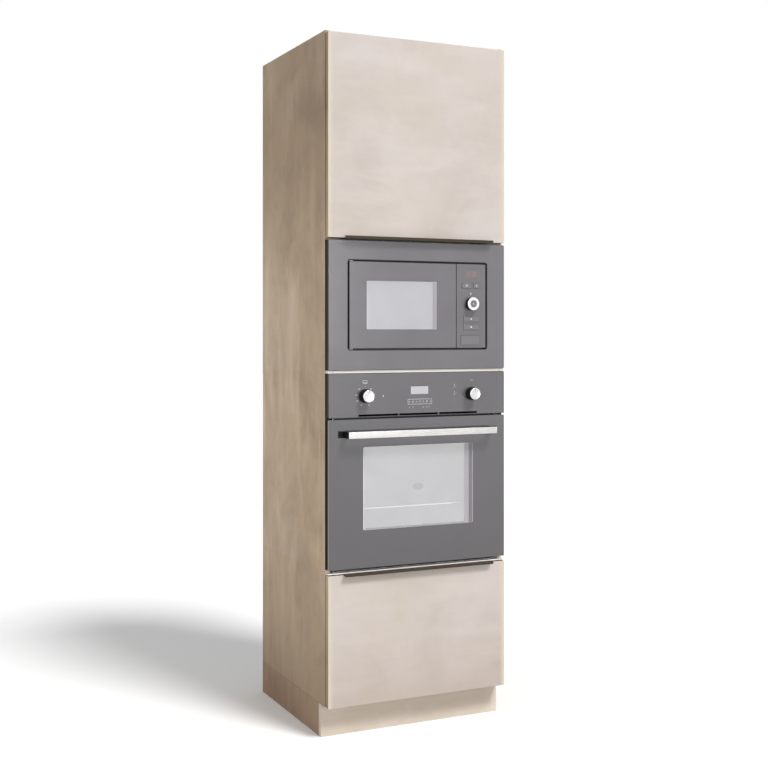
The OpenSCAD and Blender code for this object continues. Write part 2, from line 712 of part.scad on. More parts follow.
module oven_fan_cover() color(enamel) in_row() {
    y1 = oven_cavity_y + oven_cavity_d;
    translate([0, y1, oven_cavity_z + oven_cavity_h / 2 - 10]) rotate([90, 0, 0]) difference() {
        union() {
            cylinder(h = 12, r = fan_r);
            for (a = [45 : 90 : 315]) rotate(a) translate([fan_r, 0, 0]) cylinder(h = 2, r = 9);
        }
        translate([0, 0, -1]) cylinder(h = 11.5, r = fan_r - 1.5);
        for (a = [0 : 20 : 340]) rotate(a) translate([0, -2, 9]) {
            translate([0.38 * fan_r, 0, 0]) cube([0.34 * fan_r, 4, 5]);
            translate([0.8 * fan_r, 0, 0]) cube([0.12 * fan_r, 4, 5]);
        }
    }
}

// Cheeks on the front frame that hold the door's hinge pin
module oven_hinge_brackets() color(steel) in_row() both_sides() {
    x = oven_hinge_x;
    for (side = [-6, 3.5]) span([x + side, x + side + 2.5], [oven_pin.x - 4, oven_frame_y],
        [oven_pin.y - 5, oven_pin.y + 5]);
    bar_x(oven_pin.x, oven_pin.y, x - 6, x + 6, oven_pin_r);
    span([x - 9, x + 9], [oven_frame_y - 1.5, oven_frame_y], [oven_pin.y - 9, oven_pin.y + 28]);
}

module oven_hinge_arms() color(steel) in_row() both_sides() difference() {
    union() {
        bar_x(oven_pin.x, oven_pin.y, oven_hinge_x - 2.5, oven_hinge_x + 2.5, oven_eye_r);
        span([oven_hinge_x - 2.5, oven_hinge_x + 2.5],
            [oven_pin.x - 4, oven_pin.x + 4], [oven_pin.y, oven_pin.y + 50]);
    }
    bar_x(oven_pin.x, oven_pin.y, oven_hinge_x - 3, oven_hinge_x + 3,
        oven_pin_r + running_clearance);
}

module oven_door_glass() color(dark_glass) in_row()
    slab(face_y, face_y + oven_glass_t)
        round_rect(-appliance_x, appliance_x, oven_front_z0, oven_door_z1, 2);

module oven_window(grow) round_rect(-oven_window_w / 2 - grow, oven_window_w / 2 + grow,
    oven_window_z - grow, oven_window_z + oven_window_h + grow, 6);

// Two stepped rails round the window, with seats for the middle glass and pockets for the hinges
module oven_door_frame() color(black_plastic) in_row() difference() {
    union() {
        slab(face_y + oven_glass_t, -front_gap - 1)
            translate([-appliance_x + 2, oven_front_z0 + 2])
                square([2 * appliance_x - 4, oven_door_z1 - oven_front_z0 - 4]);
        span([-oven_inner_x, oven_inner_x], [-front_gap - 1 - eps, oven_inner_back_y],
            [oven_inner_z0, oven_inner_z1]);
    }
    slab(face_y, oven_inner_back_y + 1) oven_window(oven_window_frame);
    slab(-4, -1) oven_window(oven_window_frame + 4);
    both_sides() {
        x = oven_hinge_x;
        span([x - 7.5, x + 7.5], [oven_pin.x - 6.8, oven_inner_back_y + 1],
            [oven_front_z0 - 1, oven_pin.y + 7]);
        span([x - 2.5, x + 2.5], [oven_pin.x - 4, oven_pin.x + 4],
            [oven_pin.y, oven_pin.y + 50]);
    }
}

// The middle pane in its seat and the inner pane that faces the cavity
module oven_inner_glass() color("#8c9296", 0.5) in_row() {
    slab(-4, -1) oven_window(oven_window_frame + 4);
    slab(oven_inner_back_y, oven_inner_back_y + inner_glass_t)
        round_rect(-oven_inner_x + 6, oven_inner_x - 6, oven_pin.y + 9, oven_inner_z1 - 4, 6);
}

// A bar between two end pieces that stand it off the door
module oven_handle() color(chrome) in_row() {
    slab(reach_y, reach_y + handle_t)
        round_rect(-handle_l / 2, handle_l / 2, handle_z - handle_h / 2, handle_z + handle_h / 2, 2);
    both_sides() slab(reach_y + handle_t, face_y)
        round_rect(handle_l / 2 - handle_end_w, handle_l / 2, handle_z - handle_h / 2,
            handle_z + handle_h / 2, 2);
}

// ---- Microwave ----

module trim_outline(inset) round_rect(-appliance_x + inset, appliance_x - inset,
    trim_z0 + inset, trim_z1 - inset, 3);

module microwave_outline(grow, r) round_rect(-microwave_x - grow, microwave_x + grow,
    microwave_z0 - grow, microwave_z1 + grow, r);

// Face plate with a return round its outside and a collar round the microwave
module microwave_trim() color(dark_glass) in_row() {
    slab(face_y, face_y + trim_t) difference() {
        trim_outline(0);
        microwave_outline(trim_groove, 8);
    }
    slab(face_y + trim_t, 0) difference() {
        trim_outline(0);
        trim_outline(trim_wall);
    }
    slab(face_y + trim_t, microwave_plate_y) difference() {
        microwave_outline(trim_groove + trim_wall, 8 + trim_wall);
        microwave_outline(trim_groove, 8);
    }
}

module microwave_casing() color(steel) in_row() {
    y1 = microwave_casing_y + microwave_d;
    difference() {
        span([-microwave_casing_x, microwave_casing_x], [microwave_casing_y, y1],
            [microwave_casing_z0, microwave_casing_z1]);
        span([-microwave_casing_x + sheet_t, microwave_casing_x - sheet_t],
            [microwave_casing_y - 1, y1 - sheet_t],
            [microwave_casing_z0 + sheet_t, microwave_casing_z1 - sheet_t]);
        // Ventilation slots in the back
        for (k = [0 : 9], z = [60, 90]) slab(y1 - 3, y1 + 1)
            round_rect(90 + k * 12, 95 + k * 12, microwave_casing_z0 + z,
                microwave_casing_z0 + z + 20, 2.4);
    }
    // Bush for the supply lead
    difference() {
        bar_y(-lead_bush_x, microwave_casing_z0 + 40, y1 - eps, y1 + 2.4, 9);
        bar_y(-lead_bush_x, microwave_casing_z0 + 40, y1 - 3, y1 + 3, 4);
    }
    // Rubber-soled feet pressed out of the base
    for (x = [-190, 190], y = [40, y1 - 40])
        translate([x, y, microwave_casing_z0 - microwave_feet_h])
            cylinder(h = microwave_feet_h + eps, d1 = 22, d2 = 26);
}

// Front plate and cavity are welded into one pressing
module microwave_cavity() color("#d7d7d5") in_row() {
    x0 = microwave_cavity_x0;
    x1 = x0 + microwave_cavity_w;
    y0 = microwave_casing_y;
    y1 = y0 + microwave_cavity_d;
    z0 = microwave_cavity_z;
    z1 = z0 + microwave_cavity_h;
    difference() {
        union() {
            slab(microwave_plate_y, microwave_casing_y) microwave_outline(-2, 4);
            span([x0 - sheet_t, x1 + sheet_t], [y0 - eps, y1 + sheet_t],
                [z0 - sheet_t, z1 + sheet_t]);
        }
        span([x0, x1], [microwave_plate_y - 1, y1], [z0, z1]);
        translate([turntable_x, turntable_y, z0 - 5])
            cylinder(h = 10, r = drive_shaft_r + running_clearance);
        for (z = [z0 + 30, z1 - 30]) span([microwave_split_x - 14, microwave_split_x - 5],
            [microwave_plate_y - 1, y0 + 1], [z - 9, z + 9]);
    }
    microwave_door_lug(microwave_z1, 1);
    microwave_door_lug(microwave_z0, -1);
}

// Lug over or under the door with the pin that the door turns on; way is 1 at the top
module microwave_door_lug(edge_z, way) translate([microwave_pivot.x, 0, edge_z])
    upright(way) {
        span([-6, 6], [microwave_pivot.y - 4, microwave_casing_y], [0.8, 3.3]);
        span([-6, 6], [microwave_plate_y, microwave_casing_y], [-3, 0.8 + eps]);
        translate([0, microwave_pivot.y, -9]) cylinder(h = 10, r = door_pin_r);
    }

// Folded sheet bridge that lifts the microwave to the middle of its niche
module microwave_support() color(steel) in_row() {
    top = microwave_casing_z0 - microwave_feet_h;
    x = microwave_casing_x - 4;
    span([-x, x], [20, microwave_d - 10], [top - 2, top]);
    both_sides() {
        span([x - 2, x], [20, microwave_d - 10], [microwave_niche_z, top - 2 + eps]);
        span([x - 2, x + 24], [20, microwave_d - 10], [microwave_niche_z, microwave_niche_z + 2]);
    }
}

// A box given as [x, width, z, height], grown all round
module button_outline(box, grow, r)
    round_rect(box[0] - grow, box[0] + box[1] + grow, box[2] - grow, box[2] + box[3] + grow, r);

module microwave_control_panel() color(dark_glass) in_row() {
    x0 = microwave_split_x + 1;
    difference() {
        slab(face_y, face_y + panel_t)
            round_rect(x0, microwave_x, microwave_z0, microwave_z1, 2);
        slab(face_y - 1, face_y + panel_t + 1) {
            for (box = [clock_button_box, power_button_box, start_button_box, stop_button_box,
                release_button_box]) button_outline(box, button_play, 1.5);
            button_outline(display_box, 0, 0.5);
        }
        bar_y(microwave_knob_x, microwave_knob_z, face_y - 1, 0, knob_shaft_r + running_clearance);
    }
    slab(face_y + panel_t, microwave_plate_y) difference() {
        round_rect(x0, microwave_x, microwave_z0, microwave_z1, 2);
        round_rect(x0 + trim_wall, microwave_x - trim_wall, microwave_z0 + trim_wall,
            microwave_z1 - trim_wall, 1);
    }
    difference() {
        bar_y(microwave_knob_x, microwave_knob_z, face_y + panel_t - eps, face_y + 12, 7);
        bar_y(microwave_knob_x, microwave_knob_z, face_y - 1, 0, knob_shaft_r + running_clearance);
    }
}

module microwave_display() color("#17181a") in_row()
    slab(face_y, face_y + panel_t) button_outline(display_box, 0, 0.5);

module microwave_knob() color(black_plastic) in_row() {
    r = microwave_knob_d / 2;
    translate([microwave_knob_x, face_y - 0.5, microwave_knob_z]) rotate([90, 0, 0])
        difference() {
            union() {
                cylinder(h = microwave_knob_reach - 3, r = r);
                translate([0, 0, microwave_knob_reach - 3 - eps])
                    cylinder(h = 2.5, r1 = r, r2 = r - 2.5);
                translate([0, 0, -11]) cylinder(h = 11 + eps, r = knob_shaft_r);
            }
            translate([0, 0, microwave_knob_reach - 2]) cylinder(h = 3, r = 8.5);
        }
}

// Cap that stands out of the panel, and the flange behind the panel that keeps it in
module button(box) in_row() {
    slab(face_y - button_travel, face_y + panel_t + seat_gap + eps) button_outline(box, 0, 1.2);
    slab(face_y + panel_t + seat_gap, face_y + panel_t + seat_gap + 1.5)
        button_outline(box, 1.6, 1.5);
    bar_y(box[0] + box[1] / 2, box[2] + box[3] / 2, face_y + panel_t + seat_gap + 1.5 - eps,
        face_y + panel_t + 8, 2);
}

module clock_button() color(dark_glass) button(clock_button_box);

module power_button() color(dark_glass) button(power_button_box);

module start_button() color(dark_glass) button(start_button_box);

module stop_button() color(dark_glass) button(stop_button_box);

module door_release_button() color(dark_glass) button(release_button_box);

module microwave_door_outline(inset, r) round_rect(-microwave_x + inset,
    microwave_door_x1 - inset, microwave_z0 + inset, microwave_z1 - inset, r);

module microwave_window_outline(grow) button_outline(microwave_window, grow, 4);

// Door body with its choke step, and two latch hooks that reach into the front plate
module microwave_door_frame() color(black_plastic) in_row() {
    difference() {
        slab(face_y + microwave_glass_t, 0) microwave_door_outline(1, 2);
        slab(face_y, 1) microwave_window_outline(4);
        slab(-6, 1) difference() {
            microwave_door_outline(14, 2);
            microwave_door_outline(20, 2);
        }
        for (z = [microwave_z0 - eps, microwave_z1 - 10])
            translate([microwave_pivot.x, microwave_pivot.y, z])
                cylinder(h = 10 + eps, r = door_pin_r + running_clearance);
    }
    for (z = [microwave_cavity_z + 30, microwave_cavity_z + microwave_cavity_h - 30])
        along_x(microwave_split_x - 12, microwave_split_x - 9) translate([0, z]) polygon([
            [-eps, -5], [12, -5], [15, -2], [15, 4], [10, 7], [9, 4], [-eps, 5]
        ]);
}

module microwave_door_glass() color(dark_glass) in_row() {
    slab(face_y, face_y + microwave_glass_t) microwave_door_outline(0, 2);
    slab(-9, -6) microwave_window_outline(4);
}

// Glass plate with a raised rim, its three-armed coupler and the drive shaft
module turntable() color("#c9d3d4") in_row() translate([turntable_x, turntable_y, 0]) {
    r = turntable_d / 2;
    translate([0, 0, plate_z]) rotate_extrude($fn = 96) polygon([
        [0, 0], [r - 16, 0], [r, 7], [r, 9.5], [r - 3, 9.5], [r - 17, 4], [0, 4]
    ]);
    for (a = [0 : 120 : 240]) rotate(a) translate([0, -3.5, plate_z - 5]) cube([24, 7, 5 + eps]);
    translate([0, 0, microwave_cavity_z + seat_gap])
        cylinder(h = plate_z - microwave_cavity_z - seat_gap + eps, r = 9);
    translate([0, 0, microwave_cavity_z - 6]) cylinder(h = 7, r = drive_shaft_r);
}

module roller_ring() color("#dcdad4") in_row() translate([turntable_x, turntable_y, roller_z]) {
    hub_r = roller_ring_r / 3;
    x = roller_ring_r + roller_ring_w - 1;
    rotate_extrude($fn = 96) translate([roller_ring_r, -2]) square([roller_ring_w, 4]);
    for (a = [30 : 120 : 270]) rotate(a) {
        translate([x, 0, 0]) rotate([0, 90, 0]) cylinder(h = 10, r = 2.2);
        translate([x + 3, 0, 0]) rotate([0, 90, 0]) cylinder(h = 6, r = roller_r);
    }
    for (a = [90 : 120 : 330]) rotate(a)
        translate([hub_r + 2, -3, -1.5]) cube([roller_ring_r - hub_r - 1, 6, 3]);
    rotate_extrude($fn = 64) translate([hub_r, -1.5]) square([4, 3]);
}

side_panel_left();
side_panel_right();
top_panel();
bottom_panel();
upper_fixed_shelf();
niche_shelves();
back_panels();
loose_shelf();
shelf_pins();
plinth_front();
plinth_sides();
levelling_legs();
levelling_feet();
door_hinge_arms();
door_hinge_links();
door_hinge_cups();
upper_door_panel();
upper_door_pull();
drawer_front();
drawer_pull();
drawer_sides();
drawer_back();
drawer_bottom();
runner_cabinet_rails();
runner_middle_rails();
runner_drawer_rails();
oven_casing();
oven_cavity();
oven_front_frame();
oven_door_seal();
oven_control_panel();
oven_display();
oven_knob_left();
oven_knob_right();
oven_rack_ladders();
oven_rack();
oven_grill_element();
oven_fan_cover();
oven_hinge_brackets();
oven_hinge_arms();
oven_door_glass();
oven_door_frame();
oven_inner_glass();
oven_handle();
microwave_trim();
microwave_casing();
microwave_cavity();
microwave_support();
microwave_control_panel();
microwave_display();
microwave_door_frame();
microwave_door_glass();
microwave_knob();
clock_button();
power_button();
start_button();
stop_button();
door_release_button();
turntable();
roller_ring();
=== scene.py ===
import json
import math

import bpy
from mathutils import Matrix, Vector


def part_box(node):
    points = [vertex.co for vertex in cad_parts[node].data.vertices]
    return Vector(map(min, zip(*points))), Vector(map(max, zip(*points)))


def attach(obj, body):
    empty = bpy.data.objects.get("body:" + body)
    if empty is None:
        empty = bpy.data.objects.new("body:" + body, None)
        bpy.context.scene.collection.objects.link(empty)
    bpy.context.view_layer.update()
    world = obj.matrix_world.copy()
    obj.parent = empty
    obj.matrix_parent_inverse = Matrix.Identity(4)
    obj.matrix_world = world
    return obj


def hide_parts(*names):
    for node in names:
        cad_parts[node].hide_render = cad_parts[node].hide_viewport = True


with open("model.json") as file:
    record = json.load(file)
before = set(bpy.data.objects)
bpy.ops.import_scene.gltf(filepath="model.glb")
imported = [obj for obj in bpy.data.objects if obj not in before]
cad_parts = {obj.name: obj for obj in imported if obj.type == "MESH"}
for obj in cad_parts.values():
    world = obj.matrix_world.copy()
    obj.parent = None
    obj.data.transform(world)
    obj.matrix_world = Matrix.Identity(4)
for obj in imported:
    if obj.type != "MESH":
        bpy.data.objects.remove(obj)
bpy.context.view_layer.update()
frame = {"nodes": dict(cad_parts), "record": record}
nodes = frame["nodes"]
bodies = frame["record"]["behaviour"]["bodies"]
bodyOf = {node: body for body, names in bodies.items() for node in names}
mm = 0.001
pixels = 768  # both sides of the photograph
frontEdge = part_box("side_panel_left")[0].y / mm  # the boards' front edges
faceY = -20.0  # the appliances' faces, in front of the boards' edges
print("frame loaded:", len(nodes), "nodes")


def deselectAll():
    bpy.ops.object.select_all(action="DESELECT")


def pick(piece):
    deselectAll()
    piece.select_set(True)
    bpy.context.view_layer.objects.active = piece


# edit mode with the whole mesh selected
def openMesh(piece):
    pick(piece)
    bpy.ops.object.mode_set(mode="EDIT")
    bpy.ops.mesh.select_all(action="SELECT")


def closeMesh():
    bpy.ops.object.mode_set(mode="OBJECT")


def rename(piece, name):
    piece.name = name
    piece.data.name = name
    return piece


# move place, turn and size into the mesh
def settle(piece):
    pick(piece)
    bpy.ops.object.transform_apply(location=True, rotation=True, scale=True)
    return piece


def addModifier(piece, kind, **settings):
    pick(piece)
    modifier = piece.modifiers.new(kind.title(), kind)
    for key, value in settings.items():
        setattr(modifier, key, value)
    bpy.ops.object.modifier_apply(modifier=modifier.name)
    return piece


# bevel the sharp edges, the width in millimetres
def softenEdges(piece, width, segments=2, angle=40):
    return addModifier(piece, "BEVEL", width=width * mm, segments=segments, limit_method="ANGLE",
                       angle_limit=math.radians(angle), use_clamp_overlap=False,
                       harden_normals=False)


# round the shading within an angle and keep the large faces flat
def smooth(piece, angle=32):
    pick(piece)
    bpy.ops.object.shade_smooth_by_angle(angle=math.radians(angle))
    return addModifier(piece, "WEIGHTED_NORMAL", keep_sharp=True, weight=50)


# a box between two corners, its object at the origin
def block(name, low, high):
    deselectAll()
    middle = [(a + b) / 2 for a, b in zip(low, high)]
    bpy.ops.mesh.primitive_cube_add(size=1, location=middle)
    piece = bpy.context.object
    piece.scale = [b - a for a, b in zip(low, high)]
    return settle(rename(piece, name))


def copyMesh(name, mesh):
    piece = bpy.data.objects.new(name, mesh.copy())
    bpy.context.scene.collection.objects.link(piece)
    return piece


def cut(piece, cutter):
    addModifier(piece, "BOOLEAN", operation="DIFFERENCE", object=cutter, solver="EXACT")
    bpy.data.objects.remove(cutter)
    return piece


def joinAll(pieces, name):
    deselectAll()
    for piece in pieces:
        piece.select_set(True)
    bpy.context.view_layer.objects.active = pieces[0]
    if len(pieces) > 1:
        bpy.ops.object.join()
    return rename(bpy.context.object, name)


# ride on the node's body, with its material
def finishPiece(piece, node, material, replaces=False):
    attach(piece, bodyOf[node])
    if replaces:
        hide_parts(node)
    piece.data.materials.clear()
    piece.data.materials.append(material)
    return piece


# link or set the inputs of a shader node
def fill(tree, node, values):
    for key, value in values.items():
        if isinstance(value, bpy.types.NodeSocket):
            tree.links.new(value, node.inputs[key])
        else:
            node.inputs[key].default_value = value
    return node


def addNode(tree, kind, values=None, **settings):
    node = tree.nodes.new("ShaderNode" + kind)
    for key, value in settings.items():
        setattr(node, key, value)
    return fill(tree, node, values or {})


def newGroup(name, inputs, outputs):
    group = bpy.data.node_groups.new(name, "ShaderNodeTree")
    for way, sockets in (("INPUT", inputs), ("OUTPUT", outputs)):
        for label, kind in sockets.items():
            group.interface.new_socket(label, in_out=way, socket_type="NodeSocket" + kind)
    source = group.nodes.new("NodeGroupInput").outputs
    return group, source, group.nodes.new("NodeGroupOutput")


def useGroup(tree, group, values):
    return addNode(tree, "Group", values, node_tree=group).outputs


def maths(tree, operation, a, b, kind="Math", **settings):
    return addNode(tree, kind, {0: a, 1: b}, operation=operation, **settings).outputs[0]


def mixColours(tree, factor, a, b, blend="MIX"):
    values = {0: factor, 6: a, 7: b}
    return addNode(tree, "Mix", values, data_type="RGBA", blend_type=blend).outputs[2]


# a colour made lighter or darker by a grey value
def shaded(tree, colour, value):
    grey = addNode(tree, "CombineColor", {0: value, 1: value, 2: value}).outputs[0]
    return mixColours(tree, 1.0, colour, grey, "MULTIPLY")


def rangeOf(tree, value, fromMin, fromMax, toMin=0.0, toMax=1.0, **settings):
    values = {0: value, 1: fromMin, 2: fromMax, 3: toMin, 4: toMax}
    return addNode(tree, "MapRange", values, **settings).outputs[0]


def noise(tree, place, scale, detail=4, rough=0.55, distortion=0.0):
    return addNode(tree, "TexNoise", {"Vector": place, "Scale": scale, "Detail": detail,
                                      "Roughness": rough, "Distortion": distortion}).outputs[0]


cloudNoise = {  # scale, detail, roughness and distortion, then the range that shows
    "Patch": ((3.1, 6, 0.62, 0.5), (0.45, 0.66)),
    "Stain": ((4.4, 7, 0.66, 0.8), (0.52, 0.72)),
    "Smear": ((5.0, 6, 0.62, 0.25), (0.48, 0.72)),
    "warmth": ((2.3, 5, 0.6, 0.4), (0.4, 0.64)),
    "mottle": ((10.0, 8, 0.72, 0.6), (0.3, 0.7)),
    "speckle": (620.0, 2, 0.7), "drift": (3.1, 7.7, 1.3),
}


# patches, stains, long smears and fine speckle of a concrete-look laminate
def makeCloudGroup():
    group, source, sink = newGroup("laminateClouds", {
        "Place": "Vector", "Base": "Color", "Patch": "Color", "Smear": "Color", "Stain": "Color",
        "Smear Stretch": "Vector", "Strength": "Float", "Mottle": "Float", "Tint": "Color",
    }, {"Color": "Color", "Height": "Float", "Roughness": "Float"})

    def cloud(label, spot, *ends):
        settings, shown = cloudNoise[label]
        return rangeOf(group, noise(group, spot, *settings), *shown, *ends)

    place = source["Place"]
    drifted = maths(group, "ADD", place, cloudNoise["drift"], "VectorMath")
    smeared = maths(group, "MULTIPLY", place, source["Smear Stretch"], "VectorMath")
    smears = cloud("Smear", smeared)
    toned = source["Base"]
    for label, mask in (("Patch", cloud("Patch", place)), ("Stain", cloud("Stain", drifted)),
                        ("Smear", smears)):
        amount = maths(group, "MULTIPLY", mask, source["Strength"])
        toned = mixColours(group, amount, toned, source[label])
    tinted = mixColours(group, 1.0, toned, source["Tint"], "MULTIPLY")
    toned = mixColours(group, cloud("warmth", drifted), toned, tinted)
    speckle = noise(group, place, *cloudNoise["speckle"])
    mottle = maths(group, "MULTIPLY", cloud("mottle", smeared, -1, 1), source["Mottle"])
    grain = maths(group, "ADD", rangeOf(group, speckle, 0.3, 0.7, 0.95, 1.05), mottle)
    fill(group, sink, {"Color": shaded(group, toned, grain),
                       "Height": maths(group, "ADD", speckle, smears),
                       "Roughness": rangeOf(group, smears, 0, 1, 0.52, 0.42)})
    return group


brushNoise = {"lines": (900.0, 3, 0.6), "blotch": (14.0, 3, 0.5)}


# fine parallel scratches of brushed or drawn metal
def makeBrushGroup():
    group, source, sink = newGroup("brushedLines", {
        "Place": "Vector", "Stretch": "Vector", "Roughness": "Float", "Depth": "Float",
    }, {"Height": "Float", "Roughness": "Float", "Shade": "Float"})
    along = maths(group, "MULTIPLY", source["Place"], source["Stretch"], "VectorMath")
    lines = noise(group, along, *brushNoise["lines"])
    blotch = noise(group, source["Place"], *brushNoise["blotch"])
    offset = maths(group, "MULTIPLY", rangeOf(group, lines, 0.3, 0.7, -1, 1), source["Depth"])
    fill(group, sink, {"Height": lines,
                       "Roughness": maths(group, "ADD", source["Roughness"], offset),
                       "Shade": rangeOf(group, blotch, 0.35, 0.65, 0.94, 1.04)})
    return group


smudgeNoise = {"smudge": (7.0, 4, 0.6, 0.6), "grain": (2, 0.5)}


# uneven gloss of handled glass, paint and plastic, with fine moulded grain
def makeSmudgeGroup():
    group, source, sink = newGroup("handledGloss", {
        "Place": "Vector", "Base": "Color", "Roughness": "Float", "Spread": "Float",
        "Grain Scale": "Float",
    }, {"Color": "Color", "Roughness": "Float", "Height": "Float"})
    smudge = noise(group, source["Place"], *smudgeNoise["smudge"])
    offset = maths(group, "MULTIPLY", rangeOf(group, smudge, 0.3, 0.7, -1, 1), source["Spread"])
    tint = rangeOf(group, smudge, 0.3, 0.7, 0.96, 1.04)
    grain = noise(group, source["Place"], source["Grain Scale"], *smudgeNoise["grain"])
    fill(group, sink, {
        "Color": shaded(group, source["Base"], tint), "Height": grain,
        "Roughness": maths(group, "ADD", source["Roughness"], offset, use_clamp=True)})
    return group


# painted highlight: the sharp edges made lighter, in the edge colour
def makeEdgeHighlightGroup():
    group, source, sink = newGroup(
        "paintedEdgeHighlight", {"Color": "Color", "Edge": "Color", "Amount": "Float"}, {"Color": "Color"})
    edges = rangeOf(group, addNode(group, "NewGeometry").outputs["Pointiness"], 0.505, 0.56)
    mask = maths(group, "MULTIPLY", edges, source["Amount"])
    fill(group, sink, {"Color": mixColours(group, mask, source["Color"], source["Edge"])})
    return group


# painted shade: a lighter belt between two heights, fading to a darker tone above and below
def makeShadeGroup():
    group, source, sink = newGroup("heightShade", {
        "Place": "Vector", "Rise Start": "Float", "Rise End": "Float", "Fall Start": "Float",
        "Fall End": "Float", "Dark": "Color"}, {"Color": "Color"})
    height = addNode(group, "SeparateXYZ", {0: source["Place"]}).outputs["Z"]
    rise = rangeOf(group, height, source["Rise Start"], source["Rise End"],
                   interpolation_type="SMOOTHSTEP")
    fall = rangeOf(group, height, source["Fall Start"], source["Fall End"], 1.0, 0.0,
                   interpolation_type="SMOOTHSTEP")
    shadeBelt = maths(group, "MULTIPLY", rise, fall)
    fill(group, sink, {"Color": mixColours(group, shadeBelt, source["Dark"], (1, 1, 1, 1))})
    return group


cloudGroup = makeCloudGroup()
brushGroup = makeBrushGroup()
smudgeGroup = makeSmudgeGroup()
edgeHighlightGroup = makeEdgeHighlightGroup()
shadeGroup = makeShadeGroup()
print("shader groups built")


# sRGB hex to a linear colour with alpha
def linear(hexColour):
    values = [int(hexColour[i:i + 2], 16) / 255 for i in (1, 3, 5)]
    return [v / 12.92 if v <= 0.04045 else ((v + 0.055) / 1.055) ** 2.4 for v in values] + [1]


def newMaterial(name):
    material = bpy.data.materials.new(name)
    material.use_nodes = True
    tree = material.node_tree
    place = addNode(tree, "TexCoord").outputs["Object"]
    return material, tree, tree.nodes["Principled BSDF"], place


finish = {  # bump strength and distance, in metres, and what else the makers below share
    "laminateBump": (0.12, 0.0004), "laminateEdgeHighlight": 0.35, "laminateSpecular": 0.35,
    "fineBump": 0.0002, "coatRoughness": 0.04, "metalEdgeHighlight": "#c9b9a8",
    "paneSpread": 0.02, "paneSpecular": 0.6,
}


def bumpOf(tree, height, strength, distance):
    values = {"Height": height, "Strength": strength, "Distance": distance}
    return addNode(tree, "Bump", values).outputs[0]


# edge: colour of the painted highlight on sharp edges; belt: four heights and the painted shade
# above and below; rim: distances across, colour and amount of a painted highlight along the left
# and right edges
def laminate(name, base, patch, smear, strength, stretch=(1, 1, 1), edge=None, stain=None,
             shadeBelt=None, mottle=0.02, tint="#fbf8f2", rim=None):
    material, tree, shader, place = newMaterial(name)
    clouds = useGroup(tree, cloudGroup, {
        "Place": place, "Base": linear(base), "Patch": linear(patch), "Smear": linear(smear),
        "Smear Stretch": stretch, "Stain": linear(stain or patch), "Strength": strength,
        "Mottle": mottle, "Tint": linear(tint)})
    # a painted highlight on the sharp edges
    colour = useGroup(tree, edgeHighlightGroup, {"Color": clouds["Color"], "Edge": linear(edge or smear),
                                        "Amount": finish["laminateEdgeHighlight"]})[0]
    # painted shade, darker below and above the belt
    if shadeBelt:
        values = dict(zip(("Rise Start", "Rise End", "Fall Start", "Fall End"), shadeBelt[0]))
        shade = useGroup(tree, shadeGroup, {"Place": place, "Dark": linear(shadeBelt[1]), **values})[0]
        colour = mixColours(tree, 1.0, colour, shade, "MULTIPLY")
    # a painted highlight, lighter towards the left and right edges
    if rim:
        inner, outer, highlightColour, amount = rim
        across = addNode(tree, "SeparateXYZ", {0: place}).outputs["X"]
        across = addNode(tree, "Math", {0: across}, operation="ABSOLUTE").outputs[0]
        light = rangeOf(tree, across, inner, outer, 0.0, amount, interpolation_type="SMOOTHSTEP")
        colour = mixColours(tree, light, colour, linear(highlightColour))
    fill(tree, shader, {"Base Color": colour, "Roughness": clouds["Roughness"],
                        "Normal": bumpOf(tree, clouds["Height"], *finish["laminateBump"]),
                        "Specular IOR Level": finish["laminateSpecular"]})
    return material


# a colour that changes from lower at the height low to upper at high, in metres
def heightTint(tree, place, low, high, lower, upper):
    height = addNode(tree, "SeparateXYZ", {0: place}).outputs["Z"]
    return mixColours(tree, rangeOf(tree, height, low, high), linear(lower), linear(upper))


def smudged(name, base, rough, spread, grain=900.0, tint=None):
    material, tree, shader, place = newMaterial(name)
    # a colour ramp by height; the door glass uses it for a painted reflection, lighter towards the
    # top
    under = heightTint(tree, place, *tint) if tint else linear(base)
    smudge = useGroup(tree, smudgeGroup, {"Place": place, "Base": under, "Roughness": rough,
                                          "Spread": spread, "Grain Scale": grain})
    fill(tree, shader, {"Base Color": smudge["Color"], "Roughness": smudge["Roughness"]})
    return material, tree, shader, smudge


def gloss(name, base, rough, spread=0.03, coat=0.0, metallic=0.0, grain=900.0, grainDepth=0.03,
          specular=0.5, tint=None):
    material, tree, shader, smudge = smudged(name, base, rough, spread, grain, tint)
    fill(tree, shader, {"Normal": bumpOf(tree, smudge["Height"], grainDepth, finish["fineBump"]),
                        "Metallic": metallic, "Coat Weight": coat,
                        "Coat Roughness": finish["coatRoughness"],
                        "Specular IOR Level": specular})
    return material


def brushed(name, base, rough, stretch, depth=0.08, metallic=1.0, bump=0.08, edgeHighlight=0.0,
            specular=0.5):
    material, tree, shader, place = newMaterial(name)
    lines = useGroup(tree, brushGroup, {"Place": place, "Stretch": stretch, "Roughness": rough,
                                        "Depth": depth})
    colour = shaded(tree, linear(base), lines["Shade"])
    # a painted highlight on the sharp edges
    if edgeHighlight:
        colour = useGroup(tree, edgeHighlightGroup, {"Color": colour, "Edge": linear(finish["metalEdgeHighlight"]),
                                            "Amount": edgeHighlight})[0]
    fill(tree, shader, {"Base Color": colour, "Roughness": lines["Roughness"],
                        "Normal": bumpOf(tree, lines["Height"], bump, finish["fineBump"]),
                        "Metallic": metallic, "Specular IOR Level": specular})
    return material


# a pale pane that lets some of what is behind it show
def paneGlass(name, base, alpha, rough=0.04, mirror=0.0):
    material, tree, shader, smudge = smudged(name, base, rough, finish["paneSpread"])
    fill(tree, shader, {"Alpha": alpha, "Specular IOR Level": finish["paneSpecular"],
                        "Metallic": mirror})
    return material


